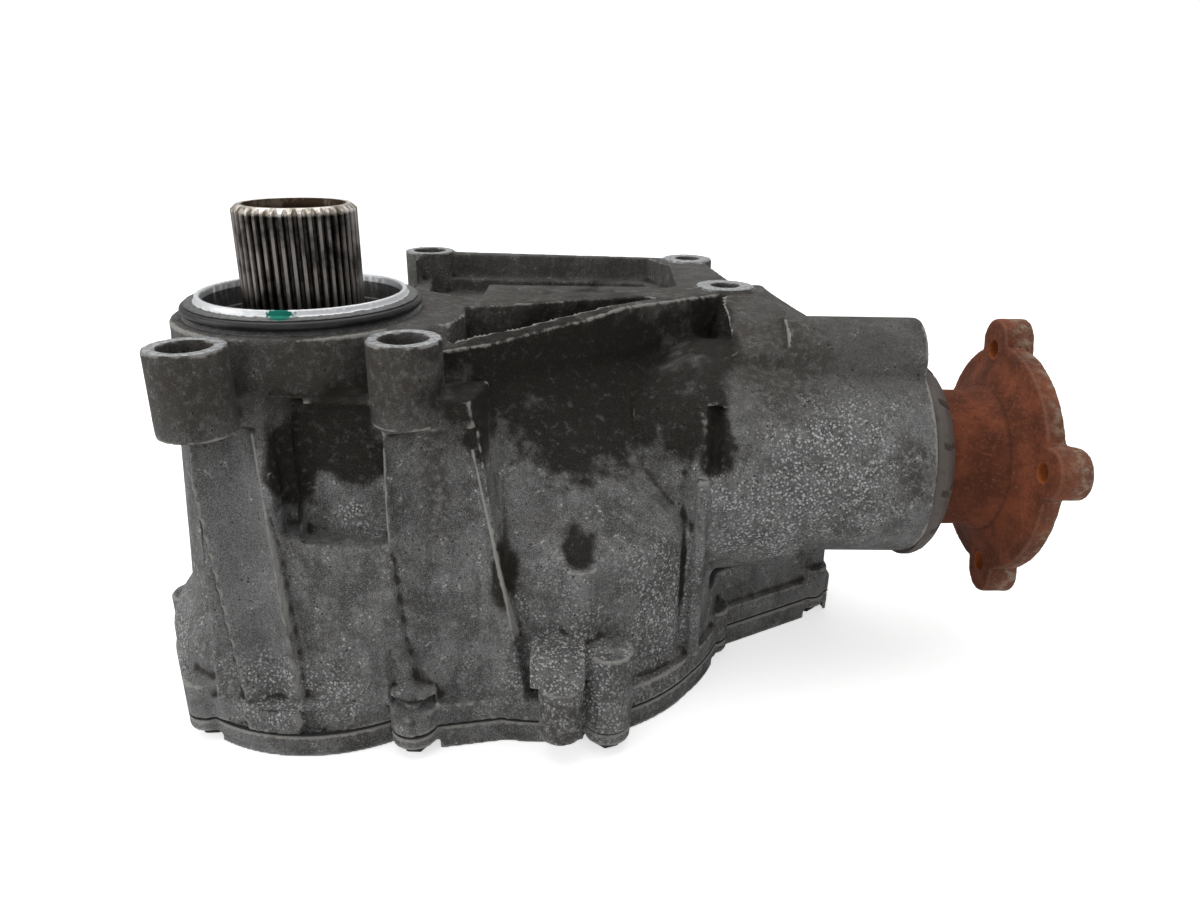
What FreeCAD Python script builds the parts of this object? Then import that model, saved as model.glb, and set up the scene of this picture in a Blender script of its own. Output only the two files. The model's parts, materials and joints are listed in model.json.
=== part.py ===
"""Right-angle transfer case: a cast case and cover, an input shaft with a helical gear, a transfer
shaft with a bevel ring gear, and a bevel pinion that turns the output flange.

Millimetres. The origin is where the input axis meets the plane of the mounting bosses. +Z runs up
along the input shaft and out of the spigot, and +X runs along the output shaft towards its flange.
"""
import FreeCAD, Part
import math
import os
import re

import Sketcher
from FreeCAD import Rotation, Vector

SIZES = {
    # mounting bosses, all with their tops at z = 0
    "boss_radius": (14, "outside of a mounting boss"),
    "boss_hole_radius": (6.75, "clearance hole for an M12 bolt"),
    "dowel_bore_radius": (9, "counterbore for a dowel sleeve"),
    "dowel_bore_depth": (9, "depth of that counterbore"),
    "front_boss_length": (32, "the two free-standing bosses under the spigot"),
    "rear_boss_length": (36, "the bosses that run down into the shoulder"),
    # heights
    "split": (-157, "joint plane between case and cover"),
    "flange_top": (-147, "top of the case's bolting flange"),
    "gasket": (0.6, "thickness of the gasket in the joint"),
    "cover_plate": (6, "thickness of the cover at its bolts"),
    "cover_depth": (11, "cover from the joint down to its lowest face"),
    # input end
    "spline_radius": (24.2, "outside of the input spline"),
    "spline_root_radius": (22.4, "root of the input spline"),
    "spline_teeth": (42, "number of spline teeth"),
    "spline_top": (42, "top end of the input shaft"),
    "spline_bottom": (-6, "where the spline runs out"),
    "spline_chamfer": (2, "lead chamfer on the spline"),
    "passage_radius": (17.5, "bore that a link shaft passes through"),
    "mouth_radius": (20, "wider mouth of that bore"),
    "mouth_depth": (22, "depth of the wider mouth"),
    "seal_land_radius": (26, "land under the input seal"),
    "spigot_radius": (42, "bright upper ring of the spigot"),
    "spigot_top": (7.5, "top of the spigot"),
    "spigot_land_radius": (46.5, "wider land that carries the O-ring"),
    "spigot_land_top": (4.8, "top of that land"),
    "spigot_bore_radius": (40, "bore of the spigot, which holds the input seal"),
    "input_ring_radius": (48, "outside of the spigot O-ring"),
    "input_ring_section": (3.4, "thickness of the O-ring"),
    "input_ring_height": (2.4, "height of the O-ring's centre"),
    "annulus_radius": (52, "cast face round the spigot"),
    "annulus_top": (-1.2, "that face, a little under the bosses"),
    # case castings
    "wall": (6, "general wall of the castings"),
    "barrel_waist_radius": (60, "barrel just above the input gear"),
    "barrel_waist": (-118, "height of that waist"),
    "barrel_foot_radius": (70.5, "barrel round the input gear"),
    "barrel_foot_top": (-136, "where the barrel widens to its foot"),
    "chamber_radius": (81, "outside of the ring gear chamber"),
    "chamber_top": (-88, "where the chamber's round wall meets the shoulder"),
    "deck_top": (-1.5, "rim of the deck between the bosses"),
    "deck_bottom": (-26, "where the deck's upright rim meets the shoulder"),
    "flange_input_radius": (71.5, "bolting flange round the input barrel"),
    "flange_front_radius": (72, "front round of the bolting flange"),
    "flange_front_x": (4, "centre of the front round, along X"),
    "flange_front_y": (-6, "centre of the front round, along Y"),
    "flange_chamber_radius": (80, "bolting flange round the chamber"),
    "flange_chamber_x": (101, "centre of that round, along X"),
    "flange_chamber_y": (11, "centre of that round, along Y"),
    "bolt_ear_radius": (9.5, "ear of the flange round each cover bolt"),
    "tail_top": (-104, "top of the foot under the output snout"),
    # gear train
    "gear_centres": (105, "input axis to transfer axis"),
    "output_y": (20, "output axis across the case"),
    "output_z": (-72.5, "output axis below the mounting plane"),
    "gear_module": (2.5, "normal module of the helical pair"),
    "input_teeth": (45, "teeth of the input gear"),
    "transfer_teeth": (33, "teeth of the transfer gear"),
    "gear_bottom": (-150, "lower face of the helical pair"),
    "gear_width": (17, "face width of the helical pair"),
    "gear_backlash": (0.3, "gap between flanks of the helical pair"),
    "ring_teeth": (31, "teeth of the bevel ring gear"),
    "pinion_teeth": (18, "teeth of the bevel pinion"),
    "ring_pitch_radius": (70, "outer pitch radius of the ring gear"),
    "bevel_face": (25, "face width of the bevel pair along its cone"),
    "bevel_spiral": (22, "turn of a bevel tooth from its outer to its inner end, in degrees"),
    "bevel_backlash": (0.5, "gap between flanks of the bevel pair at the outer end"),
    "gear_clearance": (2.5, "least gap between a gear and the casting round it"),
    # shafts
    "input_shaft_radius": (27.5, "input shaft at its bearings"),
    "input_gear_bore": (34, "seat of the input gear on its shaft"),
    "gear_rim": (5, "rim of a helical gear under its teeth"),
    "input_collar_radius": (33, "shoulder between the input shaft's bearings"),
    "transfer_shaft_radius": (16, "transfer shaft at its bearings"),
    "transfer_hub_radius": (21, "seat of the transfer gear"),
    "ring_seat_radius": (28, "seat of the ring gear on its shaft"),
    "ring_flange_radius": (46, "shaft flange under the ring gear"),
    "ring_flange_bottom": (-129.4, "lower face of that flange"),
    "ring_flange_width": (6.4, "thickness of that flange"),
    "ring_land": (-113, "land inside the ring gear, under its bolt heads"),
    "ring_bolt_circle": (35.5, "radius of the ring gear's bolt circle"),
    "ring_bolts": (8, "bolts that hold the ring gear"),
    "pinion_head_radius": (22, "pinion shaft at its head bearing"),
    "pinion_tail_radius": (17.5, "pinion shaft at its tail bearing"),
    # bearings
    "upper_input_start": (-100, "upper input bearing, lower face"),
    "upper_input_width": (20, "upper input bearing"),
    "input_cup_radius": (44, "outside of the upper input bearing"),
    "lower_input_start": (-163, "lower input bearing, lower face"),
    "lower_input_width": (12.4, "lower input bearing"),
    "lower_cup_radius": (41, "outside of the lower input bearing"),
    "upper_transfer_start": (-95, "upper transfer bearing, lower face"),
    "upper_transfer_width": (15, "upper transfer bearing"),
    "lower_transfer_start": (-164, "lower transfer bearing, lower face"),
    "lower_transfer_width": (13.4, "lower transfer bearing"),
    "transfer_cup_radius": (31, "outside of the transfer bearings"),
    "head_start": (181.5, "pinion head bearing, inner face"),
    "head_width": (21, "pinion head bearing"),
    "head_cup_radius": (40, "outside of the head bearing"),
    "tail_start": (232, "pinion tail bearing, inner face"),
    "tail_width": (18, "pinion tail bearing"),
    "tail_cup_radius": (36, "outside of the tail bearing"),
    "roller_count": (13, "rollers in each bearing"),
    "roller_angle": (12, "tilt of a roller to its bearing's axis, in degrees"),
    "roller_gap": (0.15, "gap between a roller and its race"),
    "cover_seal_radius": (25.5, "outside of the seal in the cover"),
    "shim_width": (1.2, "thickness of a bearing shim"),
    # output end
    "snout_end": (266.2, "machined end of the output snout"),
    "snout_radius": (49.5, "outside of the snout at its end"),
    "snout_flat": (-117.2, "flat under the snout"),
    "ridge_radius": (19, "rounded rise along the top of the snout"),
    "snout_root_radius": (55, "snout where it leaves the chamber"),
    "pinion_seal_radius": (38, "outside of the pinion seal"),
    "pinion_seal_width": (11, "width of the pinion seal"),
    "flange_hub_radius": (31.9, "hub of the output flange"),
    "flange_journal_radius": (27, "land of the flange under the pinion seal"),
    "flange_disc_start": (309.5, "inner face of the flange's disc"),
    "flange_disc_radius": (53.1, "round rim between the flange's arms"),
    "flange_disc_width": (9, "thickness of the disc's rim"),
    "arm_reach": (65.5, "tip of a flange arm from the output axis"),
    "arm_width": (22, "width of a flange arm"),
    "arm_turn": (14.5, "turn of the arms about the output axis, in degrees"),
    "arm_hole_circle": (51, "radius of the flange's hole circle"),
    "arm_hole_radius": (4.2, "threaded hole in each arm"),
    "arm_length": (14, "arm of the flange, along the axis"),
    "flange_face": (321, "outer face round the flange's nut"),
    "flange_bore_radius": (16, "splined bore of the flange"),
    "pinion_thread_radius": (11, "thread on the pinion's end"),
    "nut_depth": (17, "depth of the recess round the nut"),
    "nut_radius": (18, "pinion nut, across its corners"),
    "nut_height": (12, "height of the pinion nut"),
    "nut_washer": (2, "thickness of the washer under the nut"),
    "pilot_radius": (24, "recess that centres the propeller shaft"),
    "deflector_radius": (46.5, "mouth of the mud deflector"),
    "deflector_start": (267.2, "mouth of the deflector, just off the snout"),
    "deflector_length": (12.6, "deflector from mouth to collar"),
    "deflector_notches": (14, "notches round the deflector"),
    # fasteners
    "cover_bolt_radius": (4, "shank of a cover bolt"),
    "cover_bolt_grip": (14, "cover bolt's length in the case"),
    "cover_pin_radius": (3, "dowel pin in the cover joint"),
    "cover_pin_length": (14, "dowel pin in the cover joint"),
    "cover_head_radius": (6, "cover bolt head, across its corners"),
    "cover_head_height": (4.6, "cover bolt head"),
    "plug_radius": (9, "thread of the fill and drain plugs"),
    "plug_length": (13, "plug's length under its head"),
    "plug_head_radius": (11.5, "plug's head"),
    "plug_washer": (1.6, "thickness of a plug's sealing washer"),
    "fill_face": (108, "machined face round the fill plug, across the case"),
    "drain_face": (105, "machined face round the drain plug, across the case"),
}

# mounting bosses by letter, in plan
BOSSES = {
    "a": (-21.8, -65.8),
    "b": (50.9, -50.7),
    "c": (24.6, 159.3),
    "d": (175.7, 143.8),
    "e": (185.4, 61.8),
}
DOWELLED = "abc"

# cover bolts by letter, in plan, round the flange
COVER_BOLTS = {
    "a": (-38, -59),
    "b": (49, -70),
    "c": (128, -67),
    "d": (178, -3),
    "e": (236, 39),
    "f": (228, 82),
    "g": (180, 92),
    "h": (129, 104),
    "i": (74, 104),
    "j": (20, 74),
    "k": (-44, 56),
    "l": (-71.5, 6),
}

# corners of the foot under the snout, in plan, from the near wall round to the far one
TAIL = {
    "a": (150, -28),
    "b": (188, 3),
    "c": (231, 27),
    "d": (248, 38),
    "e": (245, 86),
    "f": (160, 104),
}

# dowel pins between case and cover, in plan
COVER_PINS = {
    "a": (-67, 24),
    "b": (234.5, 58),
}

TRANSFER_X = "sqrt(gear_centres^2 - output_y^2)"

LETTERED = (("boss", BOSSES), ("bolt", COVER_BOLTS), ("tail", TAIL), ("pin", COVER_PINS))

doc = FreeCAD.newDocument("transfer_case")
sheet = doc.addObject("Spreadsheet::Sheet", "dim")
finished = {}


def fill_sheet():
    """Put every driving size in the sheet, each with an alias."""
    rows = dict(SIZES)
    for group, table in LETTERED:
        for letter, point in table.items():
            rows[f"{group}_{letter}_along"] = (point[0], f"{group} {letter}, along X")
            rows[f"{group}_{letter}_across"] = (point[1], f"{group} {letter}, along Y")
    for row, (alias, (value, meaning)) in enumerate(rows.items(), start=1):
        sheet.set(f"A{row}", alias)
        sheet.set(f"B{row}", str(value))
        sheet.set(f"C{row}", meaning)
        sheet.setAlias(f"B{row}", alias)
    doc.recompute()
    return set(rows)


def bound(formula):
    """Point the size names in a formula at the sheet."""
    return re.sub(r"[a-z][a-z_]+", lambda m: f"dim.{m[0]}" if m[0] in ALIASES else m[0], formula)


def size(formula):
    """Value of a formula of sheet sizes."""
    value = sheet.evalExpression(bound(formula))
    return float(getattr(value, "Value", value))


def place_of(group, letter):
    """Formulas of a lettered place in plan."""
    return f"{group}_{letter}_along", f"{group}_{letter}_across"


ALIASES = fill_sheet()
UPRIGHT = Rotation()
LEVEL = Rotation(Vector(0, 1, 0), 90)
REARWARD = Rotation(Vector(1, 0, 0), -90)

# each axis: a point on it, and the turn that carries +Z onto it
AXES = {
    "input": (("0", "0", "0"), UPRIGHT),
    "transfer": ((TRANSFER_X, "output_y", "0"), UPRIGHT),
    "output": (("0", "output_y", "output_z"), LEVEL),
    "fill": ((f"{TRANSFER_X} + 30", "0", "-118"), REARWARD),
    "drain": (("205", "0", "-140"), REARWARD),
}


def settle(item, base, turn=UPRIGHT):
    """Bind an object's place to formulas for x, y and z."""
    item.Placement = FreeCAD.Placement(Vector(*(size(text) for text in base)), turn)
    for letter, formula in zip("xyz", base):
        item.setExpression(f"Placement.Base.{letter}", bound(formula))


def on_axis(axis, start):
    """Place and turn of something that starts part way along an axis."""
    (x, y, z), turn = AXES[axis]
    if turn is LEVEL:
        return (f"{x} + ({start})", y, z), turn
    if turn is REARWARD:
        return (x, f"{y} + ({start})", z), turn
    return (x, y, f"{z} + ({start})"), turn


def rod(axis, radius, start, end, at=None):
    """Cylinder along an axis, or upright at a place in plan."""
    item = doc.addObject("Part::Cylinder", "rod")
    item.setExpression("Radius", bound(radius))
    item.setExpression("Height", bound(f"({end}) - ({start})"))
    if at:
        settle(item, (at[0], at[1], start))
    else:
        settle(item, *on_axis(axis, start))
    return item


def taper(at, radius, end_radius, start, end):
    """Upright cone at a place in plan."""
    item = doc.addObject("Part::Cone", "taper")
    item.setExpression("Radius1", bound(radius))
    item.setExpression("Radius2", bound(end_radius))
    item.setExpression("Height", bound(f"({end}) - ({start})"))
    settle(item, (at[0], at[1], start))
    return item


def block(low, high):
    """Box between two corners."""
    item = doc.addObject("Part::Box", "block")
    for side, a, b in zip(("Length", "Width", "Height"), low, high):
        item.setExpression(side, bound(f"({b}) - ({a})"))
    settle(item, low)
    return item


def prism(points, start, end):
    """Upright prism over a polygon in plan, from a sketch and an extrusion."""
    sketch = doc.addObject("Sketcher::SketchObject", "outline")
    draw_outline(sketch, points)
    item = doc.addObject("Part::Extrusion", "prism")
    item.Base = sketch
    item.DirMode = "Custom"
    item.Dir = Vector(0, 0, 1)
    item.Solid = True
    item.setExpression("LengthFwd", bound(f"({end}) - ({start})"))
    settle(sketch, ("0", "0", start))
    return item


def draw_outline(sketch, points):
    """Closed outline of lines, each corner bound to its two formulas."""
    corners = [Vector(size(x), size(y), 0) for x, y in points]
    count = len(corners)
    for i, corner in enumerate(corners):
        sketch.addGeometry(Part.LineSegment(corner, corners[(i + 1) % count]))
    for i in range(count):
        sketch.addConstraint(Sketcher.Constraint("Coincident", i, 2, (i + 1) % count, 1))
    for i, (x, y) in enumerate(points):
        for kind, formula in (("DistanceX", x), ("DistanceY", y)):
            value = size(formula)
            index = sketch.addConstraint(Sketcher.Constraint(kind, -1, 1, i, 1, value))
            sketch.setExpression(f"Constraints[{index}]", bound(formula))


def turned(axis, profile, label="turned"):
    """Body turned about an axis from a profile of (radius, distance along the axis) formulas."""
    body = doc.addObject("PartDesign::Body", label)
    sketch = body.newObject("Sketcher::SketchObject", f"{label}_profile")
    plane = next(f for f in body.Origin.OriginFeatures if f.Role == "XZ_Plane")
    sketch.AttachmentSupport = [(plane, "")]
    sketch.MapMode = "FlatFace"
    doc.recompute()
    draw_outline(sketch, profile)
    spin = body.newObject("PartDesign::Revolution", f"{label}_turning")
    spin.Profile = sketch
    spin.ReferenceAxis = (sketch, ["V_Axis"])
    spin.Angle = 360
    body.Tip = spin
    settle(body, *on_axis(axis, "0"))
    return body


def fuse(items):
    """Union of objects."""
    item = doc.addObject("Part::MultiFuse", "union")
    item.Refine = False
    item.Shapes = items
    return item


def cut(base, tools):
    """Base with tools taken away."""
    item = doc.addObject("Part::Cut", "cut")
    item.Base = base
    item.Tool = tools[0] if len(tools) == 1 else fuse(tools)
    return item


def made(shape):
    """Object for a shape that no primitive or body can make."""
    item = doc.addObject("Part::Feature", "form")
    item.Shape = shape
    return item


def finish(label, item):
    """Name a finished sub-part."""
    item.Label = label
    finished[label] = item
    return item


def ringed(shape, count, axis=Vector(0, 0, 1), centre=Vector(0, 0, 0), phase=0):
    """Equally spaced copies of a shape about an axis."""
    copies = []
    for i in range(count):
        copy = shape.copy()
        copy.rotate(centre, axis, phase + 360 * i / count)
        copies.append(copy)
    return copies


# ---------------------------------------------------------------- housing

INPUT = ("0", "0")
TRANSFER = (TRANSFER_X, "output_y")
CHAMBER_ROUND = ("flange_chamber_x", "flange_chamber_y")
FRONT_ROUND = ("flange_front_x", "flange_front_y")
FRONT_SKIRT = [("58", "-72"), ("101", "-64"), ("101", "-40"), ("58", "-40")]
HELIX = "acos((input_teeth + transfer_teeth) * gear_module / (2 * gear_centres))"
INPUT_PITCH = "(input_teeth * gear_centres / (input_teeth + transfer_teeth))"
TRANSFER_PITCH = "(transfer_teeth * gear_centres / (input_teeth + transfer_teeth))"
INPUT_ROOM = f"({INPUT_PITCH} + gear_module + gear_clearance)"
RING_ROOM = "(ring_pitch_radius * (1 + 1 / ring_teeth) + gear_clearance)"


def rods_at(group, letters, radius, start, end):
    """Upright cylinders at lettered places."""
    return [rod(None, radius, start, end, place_of(group, letter)) for letter in letters]


def shoulder():
    """Cast shoulder from the round chamber up to the four sided deck between the bosses."""
    x, y = size(TRANSFER_X), size("output_y")
    radius, low, high = size("chamber_radius"), size("chamber_top"), size("deck_bottom")
    corners = [
        Vector(size("boss_b_along") - 6, size("boss_b_across") + 4, high),
        Vector(size("boss_e_along") + 8, size("boss_e_across") - 6, high),
        Vector(size("boss_d_along") + 8, size("boss_d_across") + 8, high),
        Vector(size("boss_c_along") - 8, size("boss_c_across") + 8, high),
    ]
    turns = [math.radians(angle) for angle in (228, 338, 58, 132)]
    feet = [Vector(x + radius * math.cos(a), y + radius * math.sin(a), low) for a in turns]
    arcs, lines = [], []
    for i in range(4):
        after = (i + 1) % 4
        end = turns[after] if turns[after] > turns[i] else turns[after] + 2 * math.pi
        half = (turns[i] + end) / 2
        middle = Vector(x + radius * math.cos(half), y + radius * math.sin(half), low)
        arcs.append(Part.Arc(feet[i], middle, feet[after]).toShape())
        lines.append(Part.LineSegment(corners[i], corners[after]).toShape())
    skirt = Part.makeLoft([Part.Wire(arcs), Part.Wire(lines)], True, True)
    deck = Part.Face(Part.Wire(lines)).extrude(Vector(0, 0, size("deck_top") - high))
    return skirt.fuse(deck)


def quad_loft(low, high, low_points, high_points):
    """Ruled block between two four sided outlines at two heights."""
    wires = []
    for level, points in ((low, low_points), (high, high_points)):
        corners = [Vector(x, y, level) for x, y in points]
        wires.append(Part.makePolygon(corners + corners[:1]))
    return Part.makeLoft(wires, True, True)


def apron():
    """Front wall that carries the bolt channels, drafted from the spigot down to the flange."""
    left, right = size("boss_a_along"), size("boss_b_along")
    high = [(left - 11, -38), (left - 8, -57), (right + 24, -58), (right + 28, -30)]
    low = [(left - 20, -40), (left - 8, -71), (right + 44, -70), (right + 50, -40)]
    return quad_loft(size("flange_top") - 1, -22, low, high)


def bolt_channel(letter, radius, top_shift, foot_shift):
    """Hollow down the front wall under a boss, with a sharp ridge on each side."""
    x, y = (size(text) for text in place_of("boss", letter))
    top = Vector(x + top_shift[0], y + top_shift[1], -size("front_boss_length") + 0.5)
    foot = Vector(x + foot_shift[0], y + foot_shift[1], size("flange_top"))
    run = foot - top
    return Part.makeCylinder(radius, run.Length, top, run)


def flange_outline(start, end, ear_end=None):
    """Bolting flange: two rounds, the foot under the snout and an ear at each bolt."""
    items = [
        rod(None, "flange_input_radius", start, end, INPUT),
        rod(None, "flange_front_radius", start, end, FRONT_ROUND),
        rod(None, "flange_chamber_radius", start, end, CHAMBER_ROUND),
        rod(None, "chamber_radius + 3", start, end, TRANSFER),
        prism(FRONT_SKIRT, start, end),
        prism([place_of("tail", letter) for letter in TAIL], start, end),
    ]
    return items + rods_at("bolt", COVER_BOLTS, "bolt_ear_radius", start, ear_end or end)


def tail_wall(top, inset):
    """Foot under the snout, a little inside its flange."""
    near = [(x, f"{y} + {inset}") for x, y in (place_of("tail", k) for k in "abc")]
    end = [(f"{x} - {inset}", y) for x, y in (place_of("tail", k) for k in "d")]
    far = [(f"{x} - {inset}", f"{y} - {inset}") for x, y in (place_of("tail", k) for k in "ef")]
    return prism(near + end + far, "split", top)


WEB = ((44, 26), (60, 20), (79, 21), (105, 32), (143, 44), (168, 58), (176, 64))


def web():
    """Curved stiffening web from the spigot rim to the boss over the snout."""
    near = [(str(x), str(y - 3)) for x, y in WEB]
    far = [(str(x), str(y + 3)) for x, y in reversed(WEB)]
    return prism(near + far, "-27", "deck_top")


def deck_pockets():
    """Open pockets in the deck, which leave its rim and the web standing."""
    behind = [(20, 66), (58, 34), (80, 28), (106, 38), (142, 51), (162, 66), (164, 128), (154, 150),
              (38, 156), (22, 146)]
    before = [(62, -26), (67, -4), (65, 12), (80, 15), (107, 26), (146, 39), (150, 36), (120, 12),
              (90, -10)]
    return [
        prism([(str(x), str(y)) for x, y in behind], "-15", "2"),
        prism([(str(x), str(y)) for x, y in before], "-17", "2"),
        prism([("36", "74"), ("62", "74"), ("62", "147"), ("28", "147")], "-23", "0"),
        prism([("28", "134"), ("152", "134"), ("152", "144"), ("28", "151")], "-23", "0"),
    ]


def case_outside():
    """Casting before anything is bored or cored."""
    barrel = turned("input", [
        ("0", "split"),
        ("barrel_foot_radius", "split"),
        ("barrel_foot_radius", "barrel_foot_top"),
        ("barrel_foot_radius - 2", "barrel_foot_top + 6"),
        ("barrel_waist_radius", "barrel_waist"),
        ("annulus_radius", "annulus_top - 4"),
        ("annulus_radius", "annulus_top"),
        ("0", "annulus_top"),
    ])
    snout = turned("output", [
        ("0", "138"),
        ("40", "138"),
        ("snout_root_radius", "168"),
        ("snout_root_radius - 3", "200"),
        ("snout_radius", "226"),
        ("snout_radius", "snout_end"),
        ("0", "snout_end"),
    ])
    bulk = fuse([
        barrel,
        made(apron()),
        rod(None, "chamber_radius", "split", "chamber_top", TRANSFER),
        made(shoulder()),
        tail_wall("tail_top", "4"),
        snout,
        rod(None, "5", "-125", "-76", ("46", "-37")),
    ])
    channels = [
        made(bolt_channel("a", 18, (4.8, -4.6), (13.8, -21.6))),
        made(bolt_channel("b", 26, (9.6, -25.1), (19.1, -38.3))),
    ]
    hollows = [
        block(("8", "-90", "-79"), ("42", "-53", "-24")),
        made(rim_dip()),
        round_recess(),
        block(("175", "-40", "snout_flat - 10"), ("snout_end + 1", "80", "snout_flat")),
    ]
    shaped = cut(bulk, deck_pockets() + channels + hollows)
    return fuse(
        [shaped, web()]
        + flange_outline("split", "flange_top", "split + cover_bolt_grip + 2")
        + rods_at("boss", "ab", "boss_radius", "-front_boss_length", "0")
        + rods_at("boss", "cde", "boss_radius", "-rear_boss_length", "0")
        + spigot()
        + lugs()
    )


def rim_dip():
    """Cut that lets the near rim of the deck sink between two bosses."""
    low = [(56, -66), (80, -66), (95, -18), (60, -27)]
    high = [(50, -76), (160, 0), (146, 33), (54, -24)]
    return quad_loft(-9, 1, low, high)


def round_recess():
    """Shallow round recess in the front of the chamber, over the half-round rib."""
    item = doc.addObject("Part::Cylinder", "recess")
    item.setExpression("Radius", bound("8"))
    item.setExpression("Height", bound("14"))
    settle(item, ("116", "-72", "-80.5"), REARWARD)
    return item


def gusset():
    """Sloping web from the boss over the snout down to the rise on the snout."""
    low = [(180, 0), (236, 2), (236, 36), (206, 76)]
    high = [(180, 44), (200, 50), (206, 58), (206, 72)]
    return quad_loft(-18, -2, low, high)


def spigot():
    """Machined spigot with the land that carries the O-ring."""
    return [
        rod("input", "spigot_land_radius", "-5", "spigot_land_top"),
        rod("input", "spigot_radius", "-5", "spigot_top"),
    ]


def lugs():
    """Cast lugs, ribs and pads on the outside of the casting."""
    return [
        rod(None, "9", "split", "-133", ("109", "-75")),
        rod(None, "10", "split", "-122", place_of("bolt", "c")),
        block(("97", "-80", "-133"), ("118.5", "-55", "-119")),
        rod(None, "8", "-121", "-90", ("116", "-56")),
        block(("164", "-37", "-147"), ("169", "0", "-62")),
        made(gusset()),
        prism([("180", "0"), ("236", "2"), ("236", "36"), ("214", "74"), ("180", "80")], "-60", "-18"),
        ridge(),
        rod("fill", "plug_radius + 5", "60", "fill_face"),
        rod("drain", "plug_radius + 5", "60", "drain_face"),
        block(("185", "52", "-20"), ("205", "72", "deck_top")),
    ]


def ridge():
    """Rounded boss along the top of the snout."""
    item = doc.addObject("Part::Cylinder", "ridge")
    item.setExpression("Radius", bound("ridge_radius"))
    item.setExpression("Height", bound("snout_end - 205"))
    settle(item, ("205", "output_y - 2", "output_z + 48"), LEVEL)
    return item


def case_inside():
    """Chambers for the gears and bores for the bearings and seals."""
    seat = "transfer_cup_radius + wall"
    dome = turned("transfer", [
        ("0", "split - 1"),
        (RING_ROOM, "split - 1"),
        (RING_ROOM, "-107.5"),
        ("52", "-95"),
        ("50", "-86"),
        (seat, "-86"),
        (seat, "upper_transfer_start - 1"),
        ("transfer_cup_radius", "upper_transfer_start - 1"),
        ("transfer_cup_radius", "upper_transfer_start + upper_transfer_width"),
        ("transfer_cup_radius - 7", "upper_transfer_start + upper_transfer_width"),
        ("transfer_cup_radius - 7", "-75"),
        ("0", "-75"),
    ])
    bore = turned("input", [
        ("0", "split - 1"),
        (INPUT_ROOM, "split - 1"),
        (INPUT_ROOM, "gear_bottom + gear_width + gear_clearance"),
        ("input_cup_radius", "gear_bottom + gear_width + gear_clearance"),
        ("input_cup_radius", "upper_input_start + upper_input_width"),
        ("spigot_bore_radius", "upper_input_start + upper_input_width"),
        ("spigot_bore_radius", "spigot_top + 1"),
        ("0", "spigot_top + 1"),
    ])
    barrel = turned("output", [
        ("0", "140"),
        ("34", "140"),
        ("48", "168"),
        ("48", "head_start - 2"),
        ("head_cup_radius", "head_start - 2"),
        ("head_cup_radius", "head_start + head_width"),
        ("head_cup_radius - 6", "head_start + head_width"),
        ("head_cup_radius - 6", "tail_start"),
        ("tail_cup_radius", "tail_start"),
        ("tail_cup_radius", "tail_start + tail_width"),
        ("pinion_seal_radius", "tail_start + tail_width"),
        ("pinion_seal_radius", "snout_end + 1"),
        ("0", "snout_end + 1"),
    ])
    return [dome, bore, barrel, tail_wall("-128", "12")]


def case_holes():
    """Boss holes, dowel counterbores, cover bolt holes and the O-ring groove."""
    groove = turned("input", [
        ("input_ring_radius - input_ring_section", "input_ring_height - input_ring_section / 2"),
        ("input_ring_radius + 2", "input_ring_height - input_ring_section / 2"),
        ("input_ring_radius + 2", "input_ring_height + input_ring_section / 2"),
        ("input_ring_radius - input_ring_section", "input_ring_height + input_ring_section / 2"),
    ])
    pins = rods_at("pin", COVER_PINS, "cover_pin_radius", "split - 1", "split + cover_pin_length / 2")
    items = pins + rods_at("boss", "ab", "boss_hole_radius", "-front_boss_length - 1", "1")
    items += rods_at("boss", "cde", "boss_hole_radius", "-rear_boss_length - 1", "1")
    items += rods_at("boss", DOWELLED, "dowel_bore_radius", "-dowel_bore_depth", "1")
    items += rods_at("bolt", COVER_BOLTS, "cover_bolt_radius", "split - 1", "split + cover_bolt_grip")
    for plug in ("fill", "drain"):
        items.append(rod(plug, "plug_radius", f"{plug}_face - plug_length - 4", f"{plug}_face + 1"))
    return items + [groove]


def build_case():
    finish("case", cut(case_outside(), case_inside() + case_holes()))


COVER_TOP = "(split - gasket)"
COVER_SEAT = "(split - gasket - cover_plate)"
COVER_FOOT = "(split - gasket - cover_depth)"


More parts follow.
